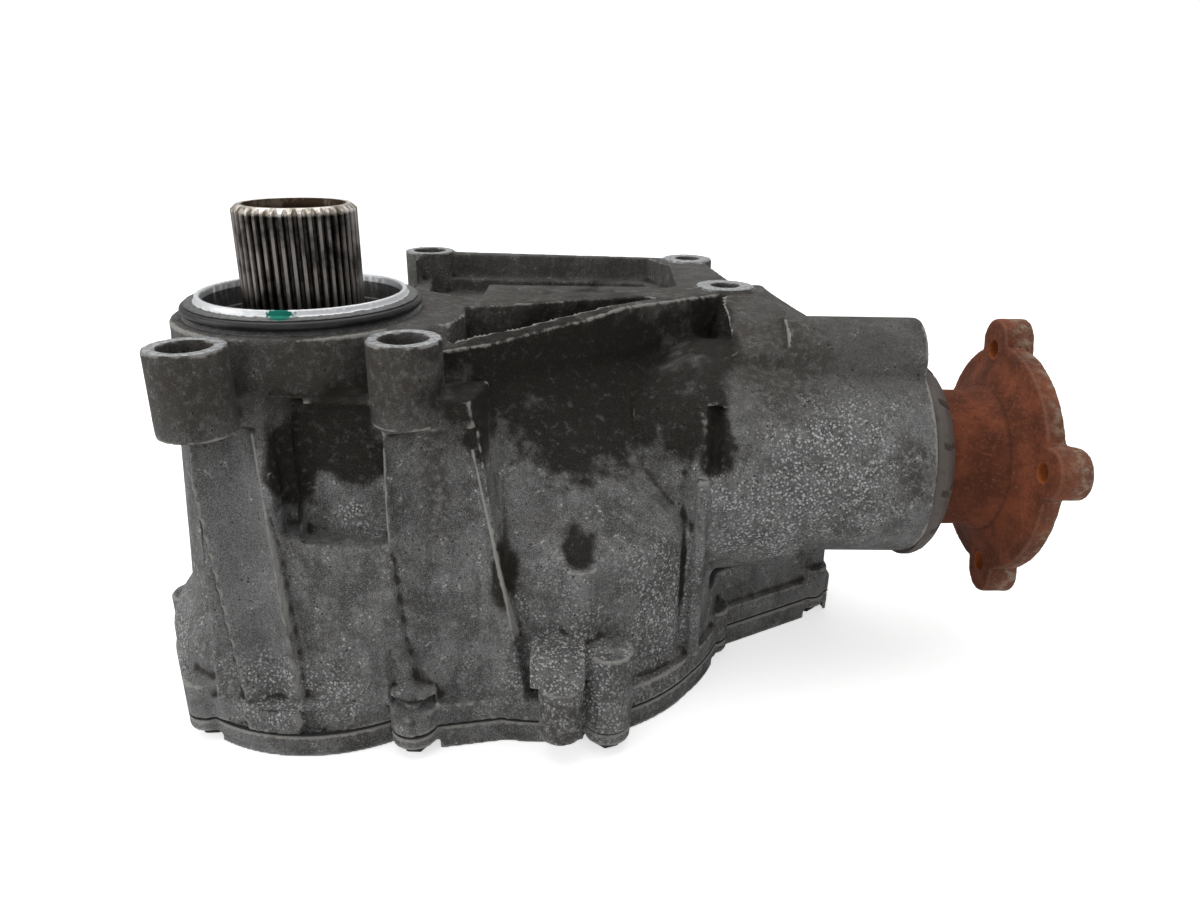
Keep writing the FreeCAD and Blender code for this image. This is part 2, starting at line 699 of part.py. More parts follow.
def build_cover():
    """Ribbed cover with a skirt, scalloped round the bolts, and seats for the lower bearings."""
    pan = [
        rod(None, "flange_input_radius - 0.8", COVER_FOOT, COVER_SEAT, INPUT),
        rod(None, "flange_chamber_radius - 0.8", COVER_FOOT, COVER_SEAT, CHAMBER_ROUND),
        rod(None, "chamber_radius + 2.2", COVER_FOOT, COVER_SEAT, TRANSFER),
        rod(None, "flange_front_radius - 0.8", COVER_FOOT, COVER_SEAT, FRONT_ROUND),
        prism(FRONT_SKIRT, COVER_FOOT, COVER_SEAT),
    ]
    foot = prism([place_of("tail", letter) for letter in TAIL], COVER_FOOT, COVER_SEAT)
    scallops = rods_at("bolt", COVER_BOLTS, "bolt_ear_radius + 0.5", f"{COVER_FOOT} - 1", COVER_SEAT)
    skirt = cut(fuse(pan + [foot]), scallops)
    plate = fuse(flange_outline(COVER_SEAT, COVER_TOP))
    hollows = [
        rod(None, INPUT_ROOM, f"{COVER_SEAT} + 1", f"{COVER_TOP} + 1", INPUT),
        rod(None, RING_ROOM, f"{COVER_SEAT} + 1", f"{COVER_TOP} + 1", TRANSFER),
    ]
    hubs = [
        rod(None, "lower_cup_radius + wall", "lower_input_start", LOWER_INPUT_TOP, INPUT),
        rod(None, "transfer_cup_radius + wall", "lower_transfer_start", LOWER_TRANSFER_TOP, TRANSFER),
    ]
    seats = [
        rod(None, "lower_cup_radius", "lower_input_start", f"{LOWER_INPUT_TOP} + 1", INPUT),
        rod(None, "transfer_cup_radius", "lower_transfer_start", f"{LOWER_TRANSFER_TOP} + 1", TRANSFER),
        rod(None, "cover_seal_radius", f"{COVER_FOOT} - 1", "lower_input_start + 1", INPUT),
    ]
    holes = rods_at("bolt", COVER_BOLTS, "cover_bolt_radius + 0.5", f"{COVER_FOOT} - 1", "split + 1")
    pins = rods_at("pin", COVER_PINS, "cover_pin_radius", "split - cover_pin_length / 2", "split + 1")
    body = fuse([cut(fuse([plate, skirt]), hollows)] + hubs)
    finish("cover", cut(body, seats + holes + pins))


def build_gasket():
    """Gasket in the joint between case and cover."""
    sheet_of = fuse(flange_outline(COVER_TOP, "split"))
    windows = [
        rod(None, f"{INPUT_ROOM} + 0.5", "split - 2", "split + 2", INPUT),
        rod(None, f"{RING_ROOM} + 0.5", "split - 2", "split + 2", TRANSFER),
    ]
    holes = rods_at("bolt", COVER_BOLTS, "cover_bolt_radius + 0.5", "split - 2", "split + 2")
    pins = rods_at("pin", COVER_PINS, "cover_pin_radius", "split - 2", "split + 2")
    finish("cover_gasket", cut(sheet_of, windows + holes + pins))


def hexagon(radius, height, base, direction):
    """Hexagonal prism across its corners."""
    corners = [Vector(radius * math.cos(i * math.pi / 3), radius * math.sin(i * math.pi / 3), 0)
               for i in range(6)]
    face = Part.Face(Part.makePolygon(corners + corners[:1]))
    solid = face.extrude(Vector(0, 0, height))
    solid.Placement = FreeCAD.Placement(base, Rotation(Vector(0, 0, 1), direction))
    return solid


def hex_bolt(base, direction, radius, length, head_radius, head_height):
    """Flanged hexagon bolt whose seat is at base and whose head points along direction."""
    washer = head_height * 0.25
    parts = [
        Part.makeCylinder(radius, length, base, -direction),
        Part.makeCylinder(head_radius * 1.12, washer, base, direction),
        hexagon(head_radius, head_height, base, direction),
    ]
    return parts[0].multiFuse(parts[1:])


def build_cover_bolts():
    down = Vector(0, 0, -1)
    length = size("gasket + cover_plate + cover_bolt_grip - 1")
    bolts = []
    for letter in COVER_BOLTS:
        x, y = place_of("bolt", letter)
        base = Vector(size(x), size(y), size(COVER_SEAT))
        bolts.append(hex_bolt(base, down, size("cover_bolt_radius"), length,
                              size("cover_head_radius"), size("cover_head_height")))
    finish("cover_bolts", made(Part.makeCompound(bolts)))


def build_cover_pins():
    length = size("cover_pin_length")
    pins = []
    for letter in COVER_PINS:
        x, y = place_of("pin", letter)
        base = Vector(size(x), size(y), size("split") - length / 2)
        pins.append(Part.makeCylinder(size("cover_pin_radius"), length - 0.5, base))
    finish("cover_pins", made(Part.makeCompound(pins)))


def build_plugs():
    """Fill and drain plugs with their sealing washers, on the far side of the case."""
    for plug in ("fill", "drain"):
        face = f"{plug}_face"
        ring = cut(rod(plug, "plug_head_radius + 1", face, f"{face} + plug_washer"),
                   [rod(plug, "plug_radius", f"{face} - 1", f"{face} + plug_washer + 1")])
        finish(f"{plug}_plug_washer", ring)
        body = turned(plug, [
            ("0", f"{face} - plug_length"),
            ("plug_radius - 1", f"{face} - plug_length"),
            ("plug_radius", f"{face} - plug_length + 1"),
            ("plug_radius", f"{face} + plug_washer"),
            ("plug_head_radius", f"{face} + plug_washer"),
            ("plug_head_radius", f"{face} + plug_washer + 5"),
            ("plug_head_radius - 1", f"{face} + plug_washer + 6"),
            ("5", f"{face} + plug_washer + 6"),
            ("5", f"{face} + plug_washer - 1"),
            ("0", f"{face} + plug_washer - 1"),
        ], f"{plug}_plug")
        finish(f"{plug}_plug", body)


# ---------------------------------------------------------------- bearings and seals

LOWER_INPUT_TOP = "(lower_input_start + lower_input_width)"
LOWER_TRANSFER_TOP = "(lower_transfer_start + lower_transfer_width)"

# name: axis, bore, outside, start, width, and which way the rollers spread
BEARINGS = {
    "upper_input": ("input", "input_shaft_radius", "input_cup_radius", -1),
    "lower_input": ("input", "input_shaft_radius", "lower_cup_radius", 1),
    "upper_transfer": ("transfer", "transfer_shaft_radius", "transfer_cup_radius", -1),
    "lower_transfer": ("transfer", "transfer_shaft_radius", "transfer_cup_radius", 1),
    "head": ("output", "pinion_head_radius", "head_cup_radius", -1),
    "tail": ("output", "pinion_tail_radius", "tail_cup_radius", 1),
}


def build_bearing(name, axis, bore, outside, spread):
    """Taper roller bearing: cup, cone, rollers and cage, on rolling cones that share one apex."""
    start, width = f"{name}_start", f"{name}_width"
    middle = f"(({bore} + {outside}) / 2)"
    roller = f"(({outside} - {bore}) * 0.21)"
    half_angle = f"atan({roller} * sin(roller_angle) / {middle})"

    def race(position, side, gap):
        """Radius of a race at a share of the width, outside (+1) or inside (-1) the rollers."""
        reach = f"({middle} / tan(roller_angle) + ({spread * (position - 0.5):g}) * {width})"
        sign = "+" if side > 0 else "-"
        return f"{reach} * tan(roller_angle * 1 deg {sign} {half_angle}) {sign} {gap}"

    def along(position):
        return f"{start} + {position:g} * {width}"

    near, far = (0.06, 0.94)
    cup = [(outside, along(0)), (race(0, 1, "roller_gap"), along(0)),
           (race(1, 1, "roller_gap"), along(1)), (outside, along(1))]
    finish(f"{name}_bearing_cup", turned(axis, cup, f"{name}_bearing_cup"))
    first, last = (0.11, 0.83) if spread > 0 else (0.17, 0.89)
    rib = f"+ 0.55 * {roller}"
    lip = f"+ 0.2 * {roller}"
    first_rib, last_rib = (lip, rib) if spread > 0 else (rib, lip)
    cone = [
        (bore, along(0)),
        (f"{race(0, -1, 'roller_gap')} {first_rib}", along(0)),
        (f"{race(first, -1, 'roller_gap')} {first_rib}", f"{along(first)} - roller_gap"),
        (race(first, -1, "roller_gap"), f"{along(first)} - roller_gap"),
        (race(last, -1, "roller_gap"), f"{along(last)} + roller_gap"),
        (f"{race(last, -1, 'roller_gap')} {last_rib}", f"{along(last)} + roller_gap"),
        (f"{race(1, -1, 'roller_gap')} {last_rib}", along(1)),
        (bore, along(1)),
    ]
    finish(f"{name}_bearing_cone", turned(axis, cone, f"{name}_bearing_cone"))
    build_rollers(name, axis, middle, roller, half_angle, spread, (first + last) / 2 - 0.5, last - first)


def build_rollers(name, axis, middle, roller, half_angle, spread, offset, share):
    """Rollers of one bearing and the cage that spaces them."""
    tilt = math.radians(size("roller_angle"))
    half = math.radians(size(half_angle))
    width = size(f"{name}_width")
    apex = size(middle) / math.tan(tilt)
    length = width * share / math.cos(tilt) * 0.97
    lean = size(roller) * math.sin(tilt)
    centre = (apex + spread * offset * width - lean) / math.cos(tilt)
    ends = (centre - length / 2, centre + length / 2)
    radii = [end * math.tan(half) for end in ends]
    line = Vector(math.sin(tilt), 0, math.cos(tilt))
    one = Part.makeCone(radii[0], radii[1], length, line * ends[0], line)
    pocket = Part.makeCone(radii[0] + 0.3, radii[1] + 0.3, length + 0.6, line * (ends[0] - 0.3), line)
    count = int(size("roller_count"))
    inner, outer = ((apex + spread * offset * width + k * width * 0.46) for k in (-1, 1))
    web = [(inner * math.tan(tilt) - 0.7, inner), (outer * math.tan(tilt) - 0.7, outer),
           (outer * math.tan(tilt) + 0.7, outer), (inner * math.tan(tilt) + 0.7, inner)]
    corners = [Vector(x, 0, z) for x, z in web]
    band = Part.Face(Part.makePolygon(corners + corners[:1])).revolve(Vector(), Vector(0, 0, 1), 360)
    cage = band.cut(Part.makeCompound(ringed(pocket, count)))
    base, turn = on_axis(axis, f"{name}_start + {name}_width / 2")
    if spread < 0:
        turn = turn.multiply(Rotation(Vector(1, 0, 0), 180))
    shift = FreeCAD.Placement(Vector(*(size(text) for text in base)), turn)
    lower = FreeCAD.Placement(Vector(0, 0, -apex), Rotation())
    for label, shape in (("rollers", Part.makeCompound(ringed(one, count))), ("cage", cage)):
        shape.Placement = shift.multiply(lower)
        finish(f"{name}_bearing_{label}", made(shape))


def build_seal(label, axis, outside, land, start, end):
    """Lip seal: a steel rim and web, with a lip that runs on a land."""
    middle = f"(({outside} + {land}) / 2)"
    finish(label, turned(axis, [
        (outside, start),
        (outside, end),
        (f"{land} + 2.4", end),
        (f"{land} + 0.05", f"{end} - 1.2"),
        (f"{land} + 0.05", f"{end} - 2.2"),
        (f"{land} + 2.2", f"{end} - 2.6"),
        (f"{land} + 3.4", f"{start} + 1.5"),
        (f"{land} + 5.2", f"{start} + 1.5"),
        (f"{land} + 5.2", f"{end} - 2.4"),
        (f"{outside} - 2", f"{end} - 2.4"),
        (f"{outside} - 2", start),
    ], label))


def build_ring_seal():
    """O-ring in the groove of the spigot."""
    ring = doc.addObject("Part::Torus", "o_ring")
    ring.setExpression("Radius1", bound("input_ring_radius - input_ring_section / 2"))
    ring.setExpression("Radius2", bound("input_ring_section / 2"))
    settle(ring, ("0", "0", "input_ring_height"))
    finish("spigot_o_ring", ring)


# ---------------------------------------------------------------- input shaft and helical pair

GEAR_TOP = "(gear_bottom + gear_width)"


def involute_point(base, radius):
    """Polar angle of an involute at a radius."""
    pressure = math.acos(min(1.0, base / radius))
    return math.tan(pressure) - pressure


def tooth_angles(pitch, base, thickness, radii):
    """Half angle that a tooth fills at each radius, from its thickness on the pitch circle."""
    at_pitch = thickness / (2 * pitch) + involute_point(base, pitch)
    return [at_pitch - involute_point(base, max(radius, base)) for radius in radii]


def gear_wire(teeth, radii, angles, turn, level):
    """Closed outline of a whole gear at one height."""
    points = []
    for i in range(teeth):
        middle = turn + 2 * math.pi * i / teeth
        flank = list(zip(radii, angles))
        steps = [(r, middle - a) for r, a in flank] + [(r, middle + a) for r, a in reversed(flank)]
        points += [Vector(r * math.cos(a), r * math.sin(a), level) for r, a in steps]
    return Part.makePolygon(points + points[:1])


def helical_gear(teeth, hand, phase, bore, web_inner, web_outer):
    """Helical gear as a loft of its outline through the face width, with a recessed web."""
    pitch = teeth * size("gear_centres") / size("input_teeth + transfer_teeth")
    module, helix = size("gear_module"), math.radians(size(HELIX))
    base = pitch * math.cos(math.atan(math.tan(math.radians(20)) / math.cos(helix)))
    radii = [pitch - 1.25 * module, pitch - 0.6 * module, pitch, pitch + module]
    thickness = math.pi * pitch / teeth - size("gear_backlash")
    angles = tooth_angles(pitch, base, thickness, radii)
    low, width = size("gear_bottom"), size("gear_width")
    twist = hand * width * math.tan(helix) / pitch
    wires = [gear_wire(teeth, radii, angles, phase + twist * (k / 2 - 0.5), low + width * k / 2)
             for k in range(3)]
    gear = Part.makeLoft(wires, True, True)
    recess = width * 0.28
    tools = [Part.makeCylinder(bore, width + 2, Vector(0, 0, low - 1))]
    for level in (low - 1, low + width - recess):
        ring = Part.makeCylinder(web_outer, recess + 1, Vector(0, 0, level))
        tools.append(ring.cut(Part.makeCylinder(web_inner, recess + 1, Vector(0, 0, level))))
    return gear.cut(Part.makeCompound(tools))


def build_helical_pair():
    across = math.asin(size("output_y") / size("gear_centres"))
    shaft, hub = size("input_gear_bore"), size("transfer_hub_radius")
    rim = size("gear_rim")
    pitch = size(INPUT_PITCH) - 1.25 * size("gear_module")
    gear = helical_gear(int(size("input_teeth")), 1, across, shaft, shaft + 6, pitch - rim)
    finish("input_gear", made(gear))
    teeth = int(size("transfer_teeth"))
    pitch = size(TRANSFER_PITCH) - 1.25 * size("gear_module")
    phase = across + math.pi + math.pi / teeth
    gear = helical_gear(teeth, -1, phase, hub, hub + 6, pitch - rim)
    item = made(gear)
    settle(item, (TRANSFER_X, "output_y", "0"))
    finish("transfer_gear", item)


def splined_end():
    """Splined end of the input shaft, with a lead chamfer on its teeth."""
    outer, root = size("spline_radius"), size("spline_root_radius")
    teeth = int(size("spline_teeth"))
    low, high = size("spline_bottom"), size("spline_top")
    half = math.pi / teeth
    radii, angles = [root, outer], [half * 0.72, half * 0.34]
    outline = gear_wire(teeth, radii, angles, 0, low)
    spline = Part.Face(outline).extrude(Vector(0, 0, high - low))
    lead = size("spline_chamfer")
    profile = [(0, low), (root, low), (outer + 0.2, low + 2.5), (outer + 0.2, high - lead),
               (root - 0.3, high), (0, high)]
    corners = [Vector(x, 0, z) for x, z in profile]
    envelope = Part.Face(Part.makePolygon(corners + corners[:1]))
    return spline.common(envelope.revolve(Vector(), Vector(0, 0, 1), 360))


def build_input_shaft():
    """Hollow input shaft: spline, seal land, bearing seats and gear seat."""
    blank = turned("input", [
        ("0", "lower_input_start + 0.6"),
        ("input_shaft_radius", "lower_input_start + 0.6"),
        ("input_shaft_radius", LOWER_INPUT_TOP),
        ("input_gear_bore", LOWER_INPUT_TOP),
        ("input_gear_bore", GEAR_TOP),
        ("input_gear_bore + 4", GEAR_TOP),
        ("input_gear_bore + 4", f"{GEAR_TOP} + 4"),
        ("input_collar_radius", f"{GEAR_TOP} + 6"),
        ("input_collar_radius", "upper_input_start - shim_width"),
        ("input_shaft_radius", "upper_input_start - shim_width"),
        ("input_shaft_radius", "upper_input_start + upper_input_width"),
        ("seal_land_radius", "upper_input_start + upper_input_width + 2"),
        ("seal_land_radius", "spline_bottom - 2"),
        ("spline_root_radius", "spline_bottom"),
        ("0", "spline_bottom"),
    ])
    bore = [
        rod("input", "passage_radius", "lower_input_start - 1", "spline_top + 1"),
        rod("input", "mouth_radius", "spline_top - mouth_depth", "spline_top + 1"),
    ]
    finish("input_shaft", cut(fuse([blank, made(splined_end())]), bore))


def build_shim(label, axis, inner, outer, start):
    """Flat shim ring that sets a bearing."""
    ring = cut(rod(axis, outer, start, f"{start} + shim_width"),
               [rod(axis, inner, f"{start} - 1", f"{start} + shim_width + 1")])
    finish(label, ring)


# ---------------------------------------------------------------- transfer shaft and bevel pair

RING_BACK = "(ring_flange_bottom + ring_flange_width)"


def build_transfer_shaft():
    """Transfer shaft with the flange that carries the ring gear."""
    shaft = turned("transfer", [
        ("0", "lower_transfer_start + 0.6"),
        ("transfer_shaft_radius", "lower_transfer_start + 0.6"),
        ("transfer_shaft_radius", LOWER_TRANSFER_TOP),
        ("transfer_hub_radius", LOWER_TRANSFER_TOP),
        ("transfer_hub_radius", GEAR_TOP),
        ("transfer_hub_radius + 5", GEAR_TOP),
        ("transfer_hub_radius + 5", "ring_flange_bottom"),
        ("ring_flange_radius", "ring_flange_bottom"),
        ("ring_flange_radius", RING_BACK),
        ("ring_seat_radius", RING_BACK),
        ("ring_seat_radius", "ring_land - 1"),
        ("ring_seat_radius - 6", "ring_land + 3"),
        ("transfer_hub_radius", "upper_transfer_start - shim_width"),
        ("transfer_shaft_radius", "upper_transfer_start - shim_width"),
        ("transfer_shaft_radius", "upper_transfer_start + upper_transfer_width + 1"),
        ("0", "upper_transfer_start + upper_transfer_width + 1"),
    ])
    holes = bolt_ring("cover_bolt_radius", "ring_flange_bottom - 1", f"{RING_BACK} + 1")
    finish("transfer_shaft", cut(shaft, [holes]))


def bolt_ring(radius, start, end):
    """Cylinders on the ring gear's bolt circle."""
    low, high, reach = size(start), size(end), size("ring_bolt_circle")
    one = Part.makeCylinder(size(radius), high - low, Vector(reach, 0, low))
    item = made(Part.makeCompound(ringed(one, int(size("ring_bolts")))))
    settle(item, (TRANSFER_X, "output_y", "0"))
    return item


def bevel_sizes(teeth, mate):
    """Cone angle, virtual pitch radius and outer pitch radius of one bevel gear."""
    cone = math.atan2(teeth, mate)
    pitch = size("ring_pitch_radius") * teeth / size("ring_teeth")
    return cone, pitch / math.cos(cone), pitch


def bevel_section(teeth, mate, distance, turn):
    """Outline of one bevel tooth on its back cone, at a distance from the apex at the origin.

    The gear's axis is +Z with the apex above its teeth, and the tooth is centred on +X turned by turn.
    """
    cone, virtual, pitch = bevel_sizes(teeth, mate)
    reach = pitch / math.sin(cone)
    scale = distance / reach
    module = 2 * pitch / teeth
    base = virtual * math.cos(math.radians(20))
    heights = [-1.5 * module, -0.7 * module, 0, 0.85 * module]
    thickness = math.pi * module / 2 - size("bevel_backlash")
    angles = tooth_angles(virtual, base, thickness, [virtual + h for h in heights])
    level = -distance * math.cos(cone)
    out = Vector(math.cos(cone), 0, math.sin(cone))
    pitch_point = Vector(distance * math.sin(cone), 0, level)
    sides = []
    for side in (-1, 1):
        row = []
        for height, angle in zip(heights, angles):
            across = (virtual + height) * math.sin(angle) * scale * side
            row.append(pitch_point + out * (height * scale) + Vector(0, across, 0))
        sides.append(row)
    points = sides[0] + sides[1][::-1]
    wire = Part.makePolygon(points + points[:1])
    wire.rotate(Vector(), Vector(0, 0, 1), math.degrees(turn))
    return wire


def bevel_gear(teeth, mate, spiral, phase, profile):
    """Bevel gear: spiral teeth lofted through sections and set into a turned blank."""
    cone, _, pitch = bevel_sizes(teeth, mate)
    reach, face = pitch / math.sin(cone), size("bevel_face")
    sections = []
    for k in range(4):
        share = k / 3
        turn = phase + spiral * (share - 0.5)
        sections.append(bevel_section(teeth, mate, reach - face * share, turn))
    tooth = Part.makeLoft(sections, True, True)
    corners = [Vector(x, 0, z) for x, z in profile]
    blank = Part.Face(Part.makePolygon(corners + corners[:1])).revolve(Vector(), Vector(0, 0, 1), 360)
    return blank.multiFuse(ringed(tooth, teeth))


def bevel_root(teeth, mate, distance, depth):
    """Radius and height of a point under the pitch cone."""
    cone, _, pitch = bevel_sizes(teeth, mate)
    scale = distance * math.sin(cone) / pitch
    height = -depth * 2 * pitch / teeth * scale
    return (distance * math.sin(cone) + height * math.cos(cone),
            -distance * math.cos(cone) + height * math.sin(cone))


def build_ring_gear():
    """Bevel ring gear on the transfer shaft, bolted down from above."""
    teeth, mate = int(size("ring_teeth")), int(size("pinion_teeth"))
    reach = size("ring_pitch_radius") / math.sin(math.atan2(teeth, mate))
    face, apex = size("bevel_face"), size("output_z")
    outer = bevel_root(teeth, mate, reach, 1.1)
    inner = bevel_root(teeth, mate, reach - face, 1.1)
    back, land = size(RING_BACK) - apex, size("ring_land") - apex
    bore, wide = size("ring_seat_radius"), size("ring_bolt_circle") + 10
    profile = [(bore, back), (outer[0] - 6, back), (outer[0], outer[1] - 3), outer, inner,
               (wide, land + 3), (wide - 2, land), (bore, land)]
    spiral = math.radians(size("bevel_spiral"))
    gear = bevel_gear(teeth, mate, spiral, 0, profile)
    item = made(gear)
    settle(item, (TRANSFER_X, "output_y", "output_z"))
    holes = bolt_ring("cover_bolt_radius", f"{RING_BACK} - 1", "ring_land + 1")
    finish("ring_gear", cut(item, [holes]))


def build_ring_bolts():
    x, y, z = size(TRANSFER_X), size("output_y"), size("ring_land")
    base = Vector(size("ring_bolt_circle"), 0, z)
    length = size("ring_land - ring_flange_bottom")
    bolt = hex_bolt(base, Vector(0, 0, 1), size("cover_bolt_radius"), length,
                    size("cover_head_radius"), size("cover_head_height"))
    item = made(Part.makeCompound(ringed(bolt, int(size("ring_bolts")))))
    settle(item, (TRANSFER_X, "output_y", "0"))
    finish("ring_gear_bolts", item)


# ---------------------------------------------------------------- output pinion and flange

HEAD_BACK = "(head_start - shim_width)"
HEAD_FRONT = "(head_start + head_width)"
TAIL_FRONT = "(tail_start + tail_width)"


def build_pinion():
    """Bevel pinion in one piece with its shaft."""
    teeth, mate = int(size("pinion_teeth")), int(size("ring_teeth"))
    reach = size("ring_pitch_radius") / math.sin(math.atan2(mate, teeth))
    face = size("bevel_face")
    outer = bevel_root(teeth, mate, reach, 1.1)
    inner = bevel_root(teeth, mate, reach - face, 1.1)
    # the gear is made with its apex above it, so its shaft points down
    back = size(TRANSFER_X) - size(HEAD_BACK)
    profile = [(0, back), (size("pinion_head_radius") + 8, back), (outer[0], outer[1] - 2), outer,
               inner, (inner[0] - 3, inner[1] + 2), (0, inner[1] + 2)]
    spiral = -math.radians(size("bevel_spiral")) * mate / teeth
    gear = bevel_gear(teeth, mate, spiral, math.pi / teeth, profile)
    head = made(gear)
    settle(head, (TRANSFER_X, "output_y", "output_z"), Rotation(Vector(0, 1, 0), -90))
    shaft = turned("output", [
        ("0", f"{HEAD_BACK} - 1"),
        ("pinion_head_radius", f"{HEAD_BACK} - 1"),
        ("pinion_head_radius", HEAD_FRONT),
        ("pinion_head_radius - 2.5", HEAD_FRONT),
        ("pinion_head_radius - 2.5", "tail_start - 2"),
        ("pinion_tail_radius", "tail_start - 2"),
        ("pinion_tail_radius", TAIL_FRONT),
        ("flange_bore_radius", TAIL_FRONT),
        ("flange_bore_radius", "flange_face - nut_depth - 1"),
        ("pinion_thread_radius", "flange_face - nut_depth - 1"),
        ("pinion_thread_radius", "flange_face + 1"),
        ("pinion_thread_radius - 1.5", "flange_face + 2.5"),
        ("0", "flange_face + 2.5"),
    ])
    finish("pinion_shaft", fuse([head, shaft]))


def build_spacer():
    """Collapsible spacer between the pinion's bearings."""
    inner = "pinion_head_radius - 2.4"
    finish("pinion_spacer", turned("output", [
        (inner, HEAD_FRONT),
        ("pinion_head_radius + 1.5", HEAD_FRONT),
        ("pinion_head_radius + 1.5", f"{HEAD_FRONT} + 7"),
        ("pinion_head_radius + 4.5", f"{HEAD_FRONT} + 13"),
        ("pinion_head_radius + 1.5", f"{HEAD_FRONT} + 19"),
        ("pinion_head_radius + 1.5", "tail_start"),
        (inner, "tail_start"),
        (inner, f"{HEAD_FRONT} + 19"),
        ("pinion_head_radius + 2", f"{HEAD_FRONT} + 13"),
        (inner, f"{HEAD_FRONT} + 7"),
    ], "pinion_spacer"))


def flange_arm():
    """One arm of the output flange, pointing along +X of a frame whose +Z is the output axis."""
    start = size("flange_disc_start")
    reach, width = size("arm_reach"), size("arm_width")
    tip = reach - width / 2
    length = size("arm_length")
    bar = Part.makeBox(tip - 30, width, length, Vector(30, -width / 2, start))
    end = Part.makeCylinder(width / 2, length, Vector(tip, 0, start))
    return bar.fuse(end)


def build_flange():
    """Output flange: hub, disc and four arms with threaded holes."""
    disc_end = "flange_disc_start + flange_disc_width"
    blank = turned("output", [
        ("0", TAIL_FRONT),
        ("flange_journal_radius", TAIL_FRONT),
        ("flange_journal_radius", "snout_end + 0.5"),
        ("flange_hub_radius", "snout_end + 1"),
        ("flange_hub_radius", "flange_disc_start - 12"),
        ("flange_hub_radius + 2.5", "flange_disc_start - 5"),
        ("flange_disc_radius - 8", "flange_disc_start"),
        ("flange_disc_radius", "flange_disc_start + 1"),
        ("flange_disc_radius", disc_end),
        ("flange_disc_radius - 5", f"{disc_end} + 1.5"),
        ("0", f"{disc_end} + 1.5"),
    ])
    arms = made(Part.makeCompound(ringed(flange_arm(), 4, phase=-size("arm_turn"))))
    settle(arms, ("0", "output_y", "output_z"), LEVEL)
    circle, radius = size("arm_hole_circle"), size("arm_hole_radius")
    drill = Part.makeCylinder(radius, 40, Vector(circle, 0, size("flange_disc_start") - 10))
    holes = made(Part.makeCompound(ringed(drill, 4, phase=-size("arm_turn"))))
    settle(holes, ("0", "output_y", "output_z"), LEVEL)
    tools = [
        holes,
        rod("output", "flange_bore_radius", f"{TAIL_FRONT} - 1", "flange_face + 5"),
        rod("output", "pilot_radius", "flange_face - nut_depth", "flange_face + 20"),
    ]
    finish("companion_flange", cut(fuse([blank, arms]), tools))


def build_nut():
    """Pinion nut and its washer, sunk in the flange."""
    seat = size("flange_face - nut_depth")
    x = Vector(1, 0, 0)
    at = Vector(seat, size("output_y"), size("output_z"))
    width = size("nut_washer")
    hole = Part.makeCylinder(size("pinion_thread_radius"), 40, at - x, x)
    washer = Part.makeCylinder(size("nut_radius") + 2, width, at, x).cut(hole)
    finish("pinion_washer", made(washer))
    nut = hexagon(size("nut_radius"), size("nut_height"), at + x * width, x).cut(hole)
    finish("pinion_nut", made(nut))


def build_deflector():
    """Pressed mud deflector with a notched mouth, tight on the flange's hub."""
    mouth, wall_width = "deflector_radius", 1.6
    end = "deflector_start + deflector_length"
    blank = turned("output", [
        (mouth, "deflector_start"),
        ("flange_hub_radius + 3", end),
        ("flange_hub_radius + 1.6", f"{end} + 4"),
        ("flange_hub_radius", f"{end} + 4"),
        ("flange_hub_radius", f"{end} - 1"),
        (f"{mouth} - {wall_width}", "deflector_start"),
    ])
    notch = Part.makeBox(6, 7, 3.5, Vector(size(mouth) - 5, -3.5, size("deflector_start") - 0.5))
    notches = made(Part.makeCompound(ringed(notch, int(size("deflector_notches")))))
    settle(notches, ("0", "output_y", "output_z"), LEVEL)
    finish("mud_deflector", cut(blank, [notches]))


# ---------------------------------------------------------------- assembly

def build_all():
    build_case()
    build_cover()
    build_gasket()
    build_cover_bolts()
    build_cover_pins()
    build_plugs()
    build_ring_seal()
    for name, (axis, bore, outside, spread) in BEARINGS.items():
        build_bearing(name, axis, bore, outside, spread)
    build_seal("input_seal", "input", "spigot_bore_radius", "seal_land_radius", "-21", "-11")
    build_seal("cover_seal", "input", "cover_seal_radius", "passage_radius + 0.4",
               f"{COVER_FOOT} + 0.6", "lower_input_start - 0.4")
    build_seal("pinion_seal", "output", "pinion_seal_radius", "flange_journal_radius",
               "snout_end - pinion_seal_width", "snout_end - 0.4")
    build_helical_pair()
    build_input_shaft()
    build_shim("input_shim", "input", "input_shaft_radius", "input_collar_radius",
               "(upper_input_start - shim_width)")
    build_transfer_shaft()
    build_shim("transfer_shim", "transfer", "transfer_shaft_radius", "transfer_hub_radius",
               "(upper_transfer_start - shim_width)")
    build_ring_gear()
    build_ring_bolts()
    build_pinion()
    build_shim("pinion_shim", "output", "pinion_head_radius", "pinion_head_radius + 7", HEAD_BACK)
    build_spacer()
    build_flange()
    build_nut()
    build_deflector()


def check_and_write():
    """Stop on any failed object or shape, and write one STEP file for each sub-part."""
    doc.recompute()
    failed = [o.Name for o in doc.Objects if {"Invalid", "Error"} & set(o.State)]
    if failed:
        raise RuntimeError(f"objects failed: {failed}")
    os.makedirs("parts", exist_ok=True)
    for label, item in finished.items():
        if item.Shape.isNull() or not item.Shape.isValid():
            raise RuntimeError(f"{label} has no valid shape")
        item.Shape.exportStep(f"parts/{label}.step")


build_all()
check_and_write()
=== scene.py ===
"""Finishes a used right-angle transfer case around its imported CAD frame."""

import json
import math
from functools import partial, reduce

import bmesh
import bpy
import numpy as np
from bpy.props import FloatProperty, FloatVectorProperty, IntProperty, PointerProperty
from mathutils import Matrix, Vector, noise


